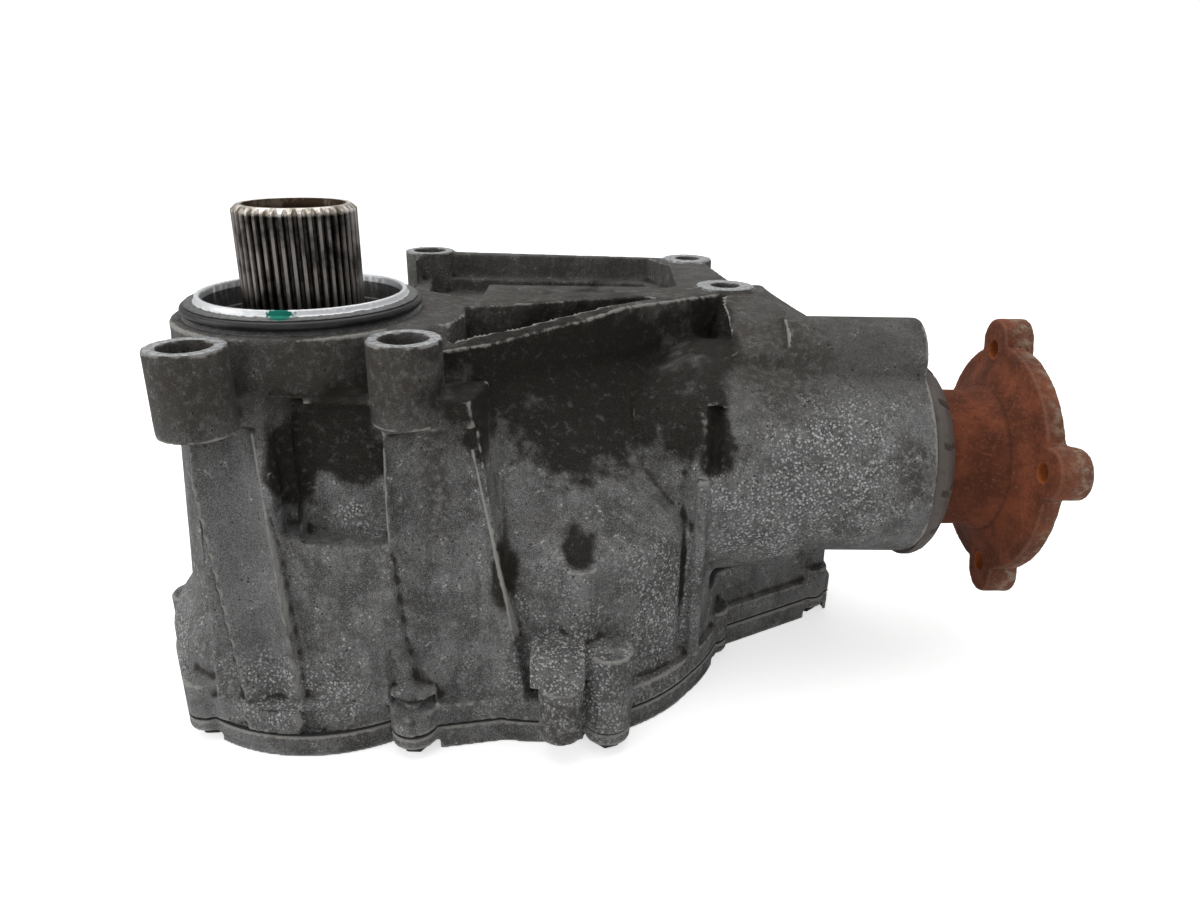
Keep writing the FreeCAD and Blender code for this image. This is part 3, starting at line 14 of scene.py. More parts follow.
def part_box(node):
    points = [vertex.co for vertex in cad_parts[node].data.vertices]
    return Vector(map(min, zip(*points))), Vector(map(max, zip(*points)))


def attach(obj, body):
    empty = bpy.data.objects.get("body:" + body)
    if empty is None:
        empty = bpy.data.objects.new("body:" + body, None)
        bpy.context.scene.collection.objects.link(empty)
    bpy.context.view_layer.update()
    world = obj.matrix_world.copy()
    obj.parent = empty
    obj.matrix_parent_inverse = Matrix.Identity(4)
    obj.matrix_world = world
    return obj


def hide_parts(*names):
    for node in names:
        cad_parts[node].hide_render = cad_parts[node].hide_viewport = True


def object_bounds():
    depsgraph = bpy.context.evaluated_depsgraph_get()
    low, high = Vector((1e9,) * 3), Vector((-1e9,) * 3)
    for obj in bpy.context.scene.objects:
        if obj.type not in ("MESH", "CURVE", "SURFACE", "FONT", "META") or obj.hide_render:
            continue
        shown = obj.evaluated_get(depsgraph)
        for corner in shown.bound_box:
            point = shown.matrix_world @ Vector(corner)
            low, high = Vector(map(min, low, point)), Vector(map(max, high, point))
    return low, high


bl_info = {
    "name": "Transfer Case Finish",
    "version": (1, 0, 0),
    "blender": (4, 5, 0),
    "location": "3D View > Sidebar > Transfer Case",
    "description": "Casts, rusts and oils a used transfer case around its CAD frame",
    "category": "Object",
}

MM = 0.001
SHARP_RADIUS = 6 * MM

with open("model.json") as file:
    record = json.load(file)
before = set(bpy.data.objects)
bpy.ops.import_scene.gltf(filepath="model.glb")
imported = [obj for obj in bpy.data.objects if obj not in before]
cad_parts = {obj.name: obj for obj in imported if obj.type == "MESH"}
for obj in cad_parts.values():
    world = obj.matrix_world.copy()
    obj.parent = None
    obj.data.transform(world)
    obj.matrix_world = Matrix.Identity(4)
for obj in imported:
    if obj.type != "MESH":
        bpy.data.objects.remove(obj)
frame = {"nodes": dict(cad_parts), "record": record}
CAD_BOX = [list(corner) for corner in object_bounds()]
MOUNTS = {mount["name"]: mount for mount in frame["record"]["mounts"]}
JOINTS = {joint["name"]: joint for joint in frame["record"]["behaviour"]["joints"]}
BODY_OF = {
    node: body
    for body, nodes in frame["record"]["behaviour"]["bodies"].items()
    for node in nodes
}
OUTPUT_AXIS = Vector(JOINTS["output_spin"]["pos_m"])
FLOOR_LEVEL = CAD_BOX[0][2]
FLANGE = MOUNTS["output_flange"]["dims"]
HOLE_RADIUS = FLANGE["hole_r_mm"] * MM
HOLE_PHASE = math.radians(14.5)
NEAR_WALL = -0.020
CAMERA_PLACE = (0.1172, -0.35573, 0.07788)
# down, to the right and rolled, in degrees
CAMERA_ANGLES = (21.63, 1.15, -1.04)


# ---- settings


def colour(name, description, default):
    return FloatVectorProperty(
        name=name, description=description, default=default,
        subtype="COLOR", size=3, min=0.0, max=1.0,
    )


def length(name, description, default):
    return FloatProperty(
        name=name, description=description, default=default,
        subtype="DISTANCE", unit="LENGTH", min=0.0, precision=5,
    )


def number(name, description, default, low=0.0, **fields):
    return FloatProperty(name=name, description=description, default=default, min=low, **fields)


def whole(name, description, default, low, high):
    return IntProperty(name=name, description=description, default=default, min=low, max=high)


class CastingSettings(bpy.types.PropertyGroup):
    """Sizes and colours of the cast aluminium housing."""

    voxel: length("Grid", "Grid on which the castings are rounded", 0.0009)
    passes: whole("Rounding", "Rounding passes over the cast edges", 18, 0, 80)
    back: number("Push back", "Push against shrinking", 0.56)
    grain: length("Grain", "Height of the sand-cast grain", 0.00012)
    triangles: whole("Triangles", "Triangles kept in one casting", 180000, 1000, 199000)
    metal: colour("Metal", "Weathered aluminium", (0.208, 0.205, 0.199))
    metal_dark: colour("Dark metal", "Aluminium gone dull", (0.078, 0.076, 0.072))
    metal_light: colour("Light metal", "Cleaner aluminium", (0.36, 0.36, 0.365))
    rubbed: colour("Rubbed edges", "Edges worn bright", (0.42, 0.41, 0.38))
    oxide: colour("Oxide", "White corrosion specks", (0.66, 0.66, 0.66))
    grease: colour("Grease", "Brown grease", (0.050, 0.042, 0.033))
    oil: colour("Oil", "Old oil soaked into the skin", (0.0075, 0.0055, 0.0038))
    # the oil film's colour also serves as painted shade in the case's corners
    oil_film_and_shade: colour("Oil film and shade", "Thinner oil over the grain", (0.030, 0.024, 0.017))
    machined: colour("Machined", "Faces cut after casting", (0.55, 0.56, 0.57))


class SteelSettings(bpy.types.PropertyGroup):
    """Colours of the shafts, fasteners and seals."""

    spline_dark: colour("Spline root", "Oily steel between the teeth", (0.012, 0.011, 0.010))
    spline_light: colour("Spline tip", "Worn tooth tips", (0.30, 0.27, 0.25))
    ground: colour("Ground steel", "Races, rollers and shafts", (0.50, 0.49, 0.48))
    spline_film: colour("Spline film", "Thinner oil between the teeth", (0.05, 0.045, 0.042))
    mouth_dull: colour("Dull mouth", "Stained end of the spline", (0.34, 0.29, 0.23))
    mouth_bright: colour("Bright mouth", "Clean end of the spline", (0.95, 0.90, 0.84))
    bore_dull: colour("Dull bore", "Dark bronze inside the spline", (0.10, 0.06, 0.035))
    bore_bright: colour("Bright bore", "Rubbed bronze inside the spline", (0.30, 0.24, 0.18))
    plated: colour("Plating", "Dull plated fasteners", (0.075, 0.070, 0.066))
    rubber: colour("Rubber", "Oiled seal rubber", (0.008, 0.008, 0.008))
    rubber_film: colour("Rubber film", "Oil on the seal rubber", (0.028, 0.026, 0.024))


class FlangeSettings(bpy.types.PropertyGroup):
    """Sizes and colours of the rusted output flange and its deflector."""

    voxel: length("Grid", "Grid on which the forging is rounded", 0.00055)
    passes: whole("Rounding", "Rounding passes over the forged edges", 44, 0, 80)
    back: number("Push back", "Push against shrinking", 0.20)
    pits: length("Pits", "Depth of the rust pits", 0.00016)
    triangles: whole("Triangles", "Triangles kept in the flange", 150000, 1000, 199000)
    rust: colour("Rust", "Even red-brown rust", (0.23, 0.066, 0.030))
    dark_rust: colour("Dark rust", "Rust in the corners", (0.105, 0.032, 0.016))
    light_rust: colour("Light rust", "Small lighter grains", (0.30, 0.115, 0.065))
    rubbed: colour("Rubbed edges", "Edges worn through the rust", (0.24, 0.13, 0.09))
    dust: colour("Dust", "Pale dust in spots", (0.19, 0.115, 0.085))
    # painted shade: this colour darkens the flange's corners
    corner_shade: colour("Corner shade", "Painted shade in the corners", (0.028, 0.012, 0.009))
    scale: colour("Scale", "Pale worn scale on the arm's end", (0.31, 0.225, 0.165))
    orange: colour("Fresh rust", "Rust inside the threaded holes", (0.32, 0.085, 0.012))
    deflector: colour("Deflector", "Dusty pressed steel", (0.135, 0.113, 0.100))


class BoltSettings(bpy.types.PropertyGroup):
    """Sizes of the cover bolts."""

    across: length("Head radius", "Bolt head across its corners, as a radius", 0.0060)
    head: length("Head height", "From the head's underside up to its seat", 0.0046)
    washer: length("Washer radius", "Collar under the bolt head", 0.0072)
    shank: length("Shank radius", "Shank of the bolt", 0.0039)
    collar: length("Collar height", "Thickness of the collar", 0.0012)


class StageSettings(bpy.types.PropertyGroup):
    """Floor, backdrop, light and camera."""

    floor: colour("Floor", "Pale floor and backdrop", (0.86, 0.86, 0.86))
    glow: number("Floor glow", "White added to the floor as seen", 0.62)
    sky: number("Sky", "Strength of the even light", 0.46)
    key: number("Key", "Power of the overhead soft light", 14.0, unit="POWER")
    fill: number("Fill", "Power of the front soft light", 2.5, unit="POWER")
    side: number("Side", "Power of the soft light on the left", 5.0, unit="POWER")
    lens: number("Lens", "Focal length", 25.58, 1.0, subtype="DISTANCE_CAMERA")


def settings(part):
    return getattr(bpy.context.scene, "transfer_case_" + part)


# ---- node trees


class NodeTree:
    """A node tree built one node at a time."""

    def __init__(self, tree):
        self.tree = tree

    def add(self, kind, values=None, **fields):
        node = self.tree.nodes.new(kind)
        for field, value in fields.items():
            setattr(node, field, value)
        for key, value in (values or {}).items():
            self.feed(node.inputs[key], value)
        return node

    def feed(self, socket, value):
        if isinstance(value, bpy.types.NodeSocket):
            self.tree.links.new(value, socket)
        elif socket.type == "RGBA":
            socket.default_value = (*value, 1.0)
        else:
            socket.default_value = value

    def math(self, operation, first, second=0.0, third=0.0, clamp=False):
        values = {0: first, 1: second, 2: third}
        node = self.add("ShaderNodeMath", values, operation=operation, use_clamp=clamp)
        return node.outputs[0]

    def times(self, first, second):
        return self.math("MULTIPLY", first, second)


class Shader(NodeTree):
    """A material and its node tree."""

    def __init__(self, name):
        self.material = bpy.data.materials.new(name)
        self.material.use_nodes = True
        super().__init__(self.material.node_tree)
        self.surface = self.tree.nodes["Principled BSDF"]
        coordinates = self.add("ShaderNodeTexCoord")
        self.place = coordinates.outputs["Object"]
        self.facing = coordinates.outputs["Normal"]
        self.base = None

    def plus(self, first, second, clamp=False):
        return self.math("ADD", first, second, clamp=clamp)

    def minus(self, first, second):
        return self.math("SUBTRACT", first, second)

    def scaled(self, value, factor, offset, clamp=False):
        """value times factor, plus offset."""
        return self.math("MULTIPLY_ADD", value, factor, offset, clamp)

    def hypot(self, first, second):
        squares = self.plus(self.times(first, first), self.times(second, second))
        return self.math("SQRT", squares)

    def strongest(self, masks):
        """The highest of several values."""
        return reduce(partial(self.math, "MAXIMUM"), masks)

    def step(self, value, low, high):
        """0 below low and 1 above high, smooth between; low above high turns it round."""
        rising = low < high
        return self.add("ShaderNodeMapRange", {
            "Value": value, "From Min": min(low, high), "From Max": max(low, high),
            "To Min": 0.0 if rising else 1.0, "To Max": 1.0 if rising else 0.0,
        }, interpolation_type="SMOOTHSTEP").outputs["Result"]

    def noise(self, scale, detail=4.0, roughness=0.55, place=None):
        return self.add("ShaderNodeTexNoise", {
            "Vector": place or self.place, "Scale": scale,
            "Detail": detail, "Roughness": roughness,
        }).outputs["Fac"]

    def cloud(self, scale, detail, roughness, low, high):
        return self.step(self.noise(scale, detail, roughness), low, high)

    def cells(self, scale):
        """Distance from the nearest of many scattered points."""
        values = {"Vector": self.place, "Scale": scale}
        return self.add("ShaderNodeTexVoronoi", values).outputs["Distance"]

    def attribute(self, name):
        return self.add("ShaderNodeAttribute", attribute_name=name).outputs["Fac"]

    def squeezed(self, scale):
        """Object coordinates scaled on each axis, which draws a pattern out."""
        return self.vector("MULTIPLY", self.place, scale)

    def mix(self, share, first, second):
        values = {"Factor": share, "A": first, "B": second}
        return self.add("ShaderNodeMix", values, data_type="RGBA").outputs["Result"]

    def coat(self, paint, mask, strength=1.0):
        """Lays paint over the base colour where the mask is high."""
        share = mask if strength == 1.0 else self.times(mask, strength)
        self.base = self.mix(share, self.base, paint)

    def axis(self, letter, vector=None):
        return self.add("ShaderNodeSeparateXYZ", {0: vector or self.place}).outputs[letter]

    def vector(self, operation, first, second=None, out="Vector"):
        node = self.add("ShaderNodeVectorMath", {0: first}, operation=operation)
        if second is not None:
            self.feed(node.inputs["Scale" if operation == "SCALE" else 1], second)
        return node.outputs[out]

    def distance(self, centre, stretch, wobble, scale):
        """Distance from centre, with stretched axes and an edge made uneven by noise."""
        shift = self.vector("SUBTRACT", self.place, centre)
        reach = self.vector("LENGTH", self.vector("MULTIPLY", shift, stretch), out="Value")
        return self.plus(reach, self.scaled(self.noise(scale, 5.0), wobble, -0.5 * wobble))

    def reach_of_line(self, start, end):
        """Distance from a line between two (x, z) places, seen square on from the near side."""
        along = Vector((end[0] - start[0], 0.0, end[1] - start[1]))
        flat = self.squeezed((1.0, 0.0, 1.0))
        shift = self.vector("SUBTRACT", flat, (start[0], 0.0, start[1]))
        share = self.vector("DOT_PRODUCT", shift, tuple(along / along.length_squared), "Value")
        share = self.math("MULTIPLY", share, 1.0, clamp=True)
        spot = self.vector("SCALE", tuple(along), share)
        return self.vector("LENGTH", self.vector("SUBTRACT", shift, spot), out="Value")

    def bump(self, height, strength, depth):
        values = {"Height": height, "Strength": strength, "Distance": depth}
        raised = self.add("ShaderNodeBump", values).outputs["Normal"]
        self.feed(self.surface.inputs["Normal"], raised)

    def colour_and_gloss(self, roughness, metallic, specular=0.5):
        for name, value in (
            ("Base Color", self.base), ("Roughness", roughness),
            ("Metallic", metallic), ("Specular IOR Level", specular),
        ):
            self.feed(self.surface.inputs[name], value)


# strokes down the near wall, from (x, z) to (x, z): width, how far they stand out,
# and the side they are kept to: -1 left, 1 right and 0 both; the mould's seams first
SEAMS = (
    ((-0.0315, -0.045), (-0.018, -0.152), 0.001, 0.0012, 0),
    ((-0.0065, -0.036), (0.0045, -0.154), 0.001, 0.0012, 0),
    ((0.0425, -0.042), (0.0425, -0.08), 0.001, 0.0007, 0),
    ((0.075, -0.042), (0.091, -0.118), 0.001, 0.0011, 0),
)
STROKES = SEAMS + (
    ((0.0425, -0.045), (0.0425, -0.082), 0.004, 0.001, 1),
    ((-0.0315, -0.045), (-0.018, -0.152), 0.008, -0.0036, -1),
    ((-0.0022, -0.08), (0.0045, -0.154), 0.012, -0.0045, 1),
    ((-0.018, -0.04), (-0.007, -0.145), 0.006, -0.003, 0),
    ((0.0425, -0.084), (0.049, -0.146), 0.008, -0.003, 1),
    ((0.06, -0.05), (0.07, -0.14), 0.008, 0.0022, 0),
    ((0.024, -0.095), (0.028, -0.145), 0.008, -0.0012, 0),
    ((0.16, -0.062), (0.16, -0.143), 0.002, -0.0028, 0),
    ((0.165, -0.024), (0.1655, -0.06), 0.004, 0.003, 0),
    ((0.1735, -0.02), (0.172, -0.058), 0.0036, -0.007, 0),
    ((0.1825, -0.022), (0.184, -0.046), 0.0045, 0.0025, 0),
)

# places on the case: centre and radius in metres, and how far each axis is squeezed
OIL_STAINS_AND_SHADE = (
    ((0.124, -0.04, -0.03), 0.046, (0.88, 0.3, 1.1)),
    ((0.1, -0.05, -0.018), 0.036, (0.8, 0.4, 0.95)),
    ((0.136, -0.045, -0.022), 0.036, (0.8, 0.4, 0.9)),
    ((0.154, -0.04, -0.042), 0.018, (1.0, 0.4, 1.0)),
    ((0.024, -0.056, -0.038), 0.021, (0.9, 0.5, 0.9)),
    ((0.006, -0.056, -0.05), 0.015, (1.2, 0.5, 0.6)),
    ((0.086, -0.066, -0.092), 0.009, (1.2, 0.5, 0.5)),
    # painted shade: this entry darkens a recess in the near wall in the oil's colour
    ((0.116, -0.066, -0.082), 0.0115, (1.1, 0.5, 1.0)),
    ((0.172, -0.03, -0.02), 0.016, (1.9, 0.4, 0.7)),
    ((0.172, -0.035, -0.05), 0.012, (1.3, 0.4, 0.7)),
    ((0.174, 0.02, -0.014), 0.022, (1.7, 0.5, 1.0)),
    # painted shade: this entry is a thin dark line along the groove drawn at x 0.16
    ((0.16, -0.04, -0.1), 0.005, (2.4, 0.5, 0.14)),
    ((0.11, 0.12, -0.06), 0.05, (0.8, 0.6, 1.0)),
)
DIRTY_PLACES = (
    ((-0.02, -0.07, -0.012), 0.024, (1.0, 1.0, 1.0)),
    ((0.048, -0.056, -0.012), 0.024, (1.0, 1.0, 1.0)),
    ((0.02, -0.05, -0.015), 0.03, (1.0, 0.6, 1.0)),
    ((0.2, 0.0, -0.02), 0.03, (1.0, 0.6, 1.0)),
    ((0.1, 0.05, -0.002), 0.11, (1.0, 1.0, 3.0)),
    ((0.11, -0.085, -0.148), 0.02, (0.9, 1.0, 1.0)),
    ((0.206, -0.01, -0.024), 0.018, (0.8, 0.5, 1.4)),
    ((0.256, -0.028, -0.06), 0.012, (1.0, 0.8, 0.6)),
    ((0.06, -0.06, -0.05), 0.012, (1.4, 0.5, 0.3)),
)
PALE_PATCHES = (
    ((0.222, -0.028, -0.062), 0.044, (0.9, 0.5, 1.0)),
    ((0.19, -0.03, -0.085), 0.03, (1.0, 0.6, 0.8)),
    ((0.15, -0.05, -0.12), 0.03, (1.2, 0.6, 0.6)),
    ((0.11, -0.075, -0.135), 0.034, (1.0, 0.6, 0.8)),
    ((0.027, -0.058, -0.07), 0.011, (1.0, 0.5, 1.0)),
    ((-0.06, -0.04, -0.14), 0.026, (1.0, 0.6, 0.9)),
    ((0.0, -0.072, -0.14), 0.034, (0.8, 0.6, 1.6)),
    ((0.1, 0.15, -0.12), 0.06, (1.0, 0.8, 1.0)),
)
BARE_PLACES = (
    ((0.25, 0.01, -0.02), 0.02, (0.8, 1.0, 1.0)),
    ((-0.014, -0.07, -0.09), 0.04, (1.6, 0.6, 0.7)),
    ((-0.04, -0.06, -0.165), 0.05, (1.0, 0.6, 2.0)),
)
PAINT_DAUBS = (
    ((0.004, -0.0425, 0.0062), 0.005, (0.9, 0.8, 2.4)),
    ((-0.004, -0.058, -0.002), 0.0018, (1.0, 1.0, 1.0)),
    ((-0.068, -0.034, -0.128), 0.0045, (1.0, 1.0, 0.8)),
)
PAINT = (0.005, 0.16, 0.115)


def shade_of(tone, share):
    return tuple(share * part for part in tone)


def hole_places():
    """Where the flange's threaded holes are, in y and z from the output axis."""
    circle = FLANGE["pcd_mm"] / 2 * MM
    for turn in range(FLANGE["count"]):
        angle = HOLE_PHASE + 2 * math.pi * turn / FLANGE["count"]
        yield circle * math.sin(angle), circle * math.cos(angle)


def patches(shader, places, wobble, scale, soft):
    """The strongest of several uneven round patches."""
    return shader.strongest([
        shader.step(
            shader.distance(centre, stretch, wobble * radius, scale), radius, soft * radius,
        )
        for centre, radius, stretch in places
    ])


def cast_aluminium(name, wet=1.0):
    """Weathered cast aluminium: oil stains, white corrosion specks and worn edges."""
    look = settings("casting")
    skin = Shader(name)
    x, y, height = (skin.axis(letter) for letter in "XYZ")
    reach = skin.hypot(x, y)
    edge = skin.attribute("edge")
    mottle = skin.noise(75.0, 8.0, 0.68)
    medium = skin.noise(330.0, 5.0, 0.65)
    fine = skin.noise(1900.0, 2.0, 0.8)
    streaks = skin.noise(170.0, 6.0, 0.6, place=skin.squeezed((1.0, 1.0, 0.14)))

    # bare metal, clouded and streaked
    skin.base = skin.mix(skin.step(mottle, 0.40, 0.56), look.metal_dark, look.metal)
    skin.coat(look.metal_light, skin.cloud(24.0, 4.0, 0.6, 0.42, 0.62), 0.30)
    skin.coat(look.metal_dark, skin.step(streaks, 0.50, 0.64), 0.60)
    skin.coat(look.metal_light, skin.step(medium, 0.50, 0.70), 0.55)
    skin.coat(look.metal_light, patches(skin, BARE_PLACES, 1.2, 40.0, 0.3), 0.55)
    skin.coat(look.grease, skin.cloud(45.0, 4.0, 0.55, 0.50, 0.66), 0.30)
    skin.coat(look.metal_dark, skin.step(fine, 0.52, 0.38), 0.78)
    skin.coat(look.metal_light, skin.step(fine, 0.53, 0.63), 0.70)

    # white corrosion, in specks that gather in drifts
    pale = patches(skin, PALE_PATCHES, 1.4, 55.0, 0.25)
    cloud = skin.cloud(38.0, 5.0, 0.6, 0.50, 0.66)
    drift = skin.scaled(cloud, 0.35, pale, clamp=True)
    dots = skin.scaled(skin.noise(420.0, 5.0, 0.75), -0.85, skin.cells(720.0))
    grains = skin.cloud(620.0, 6.0, 0.9, 0.55, 0.60)
    speck = skin.strongest([skin.step(dots, -0.02, -0.14), grains])
    dense = skin.cloud(210.0, 5.0, 0.65, 0.32, 0.54)
    sparse = skin.cloud(150.0, 5.0, 0.7, 0.56, 0.64)
    spread = skin.plus(skin.times(dense, drift), skin.times(sparse, 0.85), clamp=True)
    white = skin.times(speck, spread)
    skin.coat(look.oxide, white, 0.92)

    # dirt and oil run down from the joint with the gearbox
    upper = skin.step(skin.scaled(mottle, 0.05, height), -0.024, 0.006)
    skin.coat(look.grease, upper, 0.55 * wet)
    dirty = patches(skin, DIRTY_PLACES, 1.0, 60.0, 0.4)
    skin.coat(look.grease, skin.times(dirty, skin.step(medium, 0.66, 0.40)), 0.70 * wet)
    pits = skin.times(skin.step(skin.cells(330.0), 0.20, 0.12), skin.step(mottle, 0.44, 0.56))
    skin.coat(look.oil, pits, 0.75)
    # oil stains, two of them painted shade over a recess and a groove
    stain = patches(skin, OIL_STAINS_AND_SHADE, 1.3, 70.0, 0.68)
    stain = skin.times(stain, skin.scaled(skin.step(medium, 0.52, 0.70), -0.30, 1.0))
    stain = skin.times(stain, wet)
    film = skin.mix(skin.step(fine, 0.42, 0.64), look.oil, look.oil_film_and_shade)
    skin.coat(film, stain, 0.96)

    # edges are rubbed bright, and the corners are darkened with painted shade
    uneven = skin.scaled(medium, 0.9, skin.minus(edge, 0.45))
    skin.coat(look.rubbed, skin.step(uneven, 0.30, 0.75), 0.75)
    # painted shade: concave corners darkened in the oil film's colour
    skin.coat(look.oil_film_and_shade, skin.step(edge, -0.10, -0.65), 0.85)

    # the seams of the mould, rubbed bright in places
    ragged = skin.times(medium, 0.6 * MM)
    seam = skin.strongest([
        skin.step(skin.plus(ragged, skin.reach_of_line(start, end)), 1.0 * MM, 0.6 * MM)
        for start, end, *_ in SEAMS
    ])
    kept = skin.times(skin.step(y, NEAR_WALL, -0.030), skin.step(streaks, 0.34, 0.50))
    skin.coat(look.rubbed, skin.times(seam, kept), 0.85)

    # faces cut level with the gearbox joint, the turned spigot and bore with a painted dark
    # reflection, and a painted highlight on its ring
    up = skin.step(skin.axis("Z", skin.facing), 0.75, 0.92)
    level = skin.step(skin.math("ABSOLUTE", height), 0.0012, 0.0008)
    turned = skin.times(skin.step(reach, 0.0476, 0.0470), skin.step(height, -0.0040, -0.0030))
    ring = skin.times(skin.step(reach, 0.0429, 0.0426), skin.step(height, 0.0040, 0.0046))
    cut = skin.plus(skin.times(up, level), turned, clamp=True)
    scuffs = skin.cloud(420.0, 6.0, 0.7, 0.40, 0.60)
    face = skin.mix(scuffs, shade_of(look.machined, 0.45), look.machined)
    # painted reflection: the turned spigot and bore darkened towards the dull metal
    face = skin.mix(skin.times(turned, 0.80), face, look.metal_dark)
    # painted highlight: the ring at the spigot's top in a brighter copy of the machined colour
    face = skin.mix(ring, face, shade_of(look.machined, 1.5))
    skin.coat(face, cut)
    skin.coat(PAINT, patches(skin, PAINT_DAUBS, 1.2, 700.0, 0.8))

    rough = skin.scaled(fine, 0.20, 0.58)
    rough = skin.scaled(stain, -0.14, rough)
    rough = skin.scaled(cut, -0.28, rough)
    skin.colour_and_gloss(rough, skin.times(cut, 0.55), 0.25)
    relief = skin.plus(skin.times(fine, 0.85), skin.times(medium, 1.3))
    relief = skin.plus(relief, skin.times(white, 0.30))
    relief = skin.plus(relief, skin.times(mottle, 1.2))
    skin.bump(skin.times(relief, skin.scaled(cut, -0.92, 1.0)), 0.9, 0.0010)
    return skin.material


def rusted_iron():
    """Red-brown rusted forging with painted shade in its corners, pale scale and fresh rust in the
    holes.
    """
    look = settings("flange")
    iron = Shader("rusted_iron")
    broad = iron.noise(55.0, 6.0, 0.6)
    fine = iron.noise(700.0, 5.0, 0.65)
    edge = iron.attribute("edge")
    iron.base = iron.mix(iron.step(broad, 0.34, 0.66), look.dark_rust, look.rust)
    iron.coat(look.light_rust, iron.step(fine, 0.50, 0.68), 0.45)
    iron.coat(look.dark_rust, iron.cloud(260.0, 6.0, 0.75, 0.50, 0.66), 0.75)

    # worn pale scale over the arms' ends, and dust
    front = iron.step(iron.axis("X"), 0.3090, 0.3200)
    chips = iron.cloud(230.0, 6.0, 0.7, 0.46, 0.60)
    iron.coat(look.scale, iron.times(front, iron.scaled(chips, 0.72, 0.18)))
    iron.coat(look.dust, iron.cloud(300.0, 6.0, 0.75, 0.60, 0.70), 0.45)

    # rubbed edges, and painted shade darkening the corners
    iron.coat(look.rubbed, iron.step(iron.scaled(fine, 0.8, edge), 0.75, 1.30), 0.35)
    # painted shade: concave corners darkened where shade falls
    iron.coat(look.corner_shade, iron.step(edge, -0.10, -0.60), 0.75)

    # fresh orange in the threaded holes
    y = iron.minus(iron.axis("Y"), OUTPUT_AXIS.y)
    z = iron.minus(iron.axis("Z"), OUTPUT_AXIS.z)
    holes = iron.strongest([
        iron.step(
            iron.hypot(iron.minus(y, across), iron.minus(z, up)),
            HOLE_RADIUS * 1.14, HOLE_RADIUS * 1.02,
        )
        for across, up in hole_places()
    ])
    iron.coat(look.orange, holes, 0.8)
    iron.colour_and_gloss(iron.scaled(fine, 0.18, 0.74), 0.0, 0.2)
    relief = iron.plus(iron.times(fine, 0.8), iron.noise(260.0, 5.0, 0.7))
    iron.bump(relief, 0.8, 0.0009)
    return iron.material


def steel(
    name, base, rough=0.35, metallic=1.0, grain=0.25, stain=(0.03, 0.025, 0.02), dirty=0.4,
):
    """Plain steel with faint turning marks, small stains and uneven gloss."""
    metal = Shader(name)
    cloud = metal.noise(140.0, 6.0, 0.65)
    fine = metal.noise(1500.0, 3.0)
    metal.base = metal.mix(metal.step(fine, 0.35, 0.70), shade_of(base, 0.82), base)
    metal.coat(stain, metal.step(cloud, 0.52, 0.68), dirty)
    metal.colour_and_gloss(metal.scaled(cloud, 0.22, rough - 0.08), metallic)
    metal.bump(fine, grain, 0.0003)
    return metal.material


def splined_steel():
    """Dark oily spline with bright tooth tips and mouth, and a bronze bore."""
    look = settings("steel")
    metal = Shader("splined_steel")
    height = metal.axis("Z")
    reach = metal.hypot(metal.axis("X"), metal.axis("Y"))
    tip = metal.step(reach, 0.0229, 0.0240)
    streak = metal.noise(260.0, 5.0, 0.6)
    metal.base = metal.mix(metal.step(streak, 0.40, 0.66), look.spline_dark, look.spline_film)
    worn = metal.times(tip, metal.cloud(70.0, 4.0, 0.55, 0.36, 0.58))
    metal.coat(look.spline_light, metal.scaled(worn, 0.80, metal.times(tip, 0.12)))
    mouth = metal.step(height, 0.0385, 0.0402)
    scuffs = metal.cloud(220.0, 5.0, 0.7, 0.38, 0.64)
    metal.coat(metal.mix(scuffs, look.mouth_dull, look.mouth_bright), mouth)
    inside = metal.times(metal.step(reach, 0.0212, 0.0200), metal.step(height, 0.0, 0.01))
    cloud = metal.cloud(120.0, 5.0, 0.7, 0.45, 0.6)
    metal.coat(metal.mix(cloud, look.bore_dull, look.bore_bright), inside)
    metal.colour_and_gloss(metal.scaled(streak, 0.2, 0.20), metal.scaled(mouth, -0.45, 0.85))
    metal.bump(metal.noise(1200.0, 3.0), 0.15, 0.0002)
    return metal.material


def seal_rubber():
    """Black rubber under a film of oil."""
    look = settings("steel")
    rubber = Shader("seal_rubber")
    cloud = rubber.noise(200.0, 5.0)
    rubber.base = rubber.mix(rubber.step(cloud, 0.5, 0.7), look.rubber, look.rubber_film)
    rubber.colour_and_gloss(rubber.scaled(cloud, 0.3, 0.28), 0.0)
    rubber.bump(rubber.noise(900.0, 3.0), 0.12, 0.0003)
    return rubber.material


# ---- meshes

# places pressed back into the near wall: (x, z) low and high, and the y they stop at
PRESSES = (
    ((-0.0005, -0.078), (0.0140, -0.014), -0.0525),
    ((0.0390, -0.1475), (0.0590, -0.120), -0.0660),
)
PRESS_SIDE, PRESS_FOOT, PRESS_HEAD = 1.2 * MM, 1.5 * MM, 6.0 * MM
# the snout's lower front is drawn in to this radius, where its skin is close outside it
SNOUT_UNDER = 0.0448
SNOUT_SKIN = 1.13 * SNOUT_UNDER
SNOUT_START = 0.19
SNOUT_FRONT = (0.196, 0.208)
SPIGOT_MARGIN = 5.0 * MM
HUB_RADIUS = 0.026
ROUNDING_PULL = 0.60
# the grain: its scale on each metal, where its pattern starts, and its roughness,
# step and layers; it fades out below the gearbox joint, whose faces stay smooth
GRAIN_SCALE, PIT_SCALE = 260.0, 420.0
GRAIN_SHIFT = Vector((3.0, 2.1, 3.9))
GRAIN_LAYERS = (0.9, 2.1, 3)
JOINT_FADE = (0.8 * MM, 1.3 * MM)
# corners around the deflector, corners in one tab, and the slits between tabs
DEFLECTOR_SIDES, TAB_SIDES, SLIT_SIDES = 210, 15, 2
SLIT_ROWS = range(2, 7)
SLIT_DEPTH = 2.4 * MM
SLIT_FLOOR = 0.2 * MM
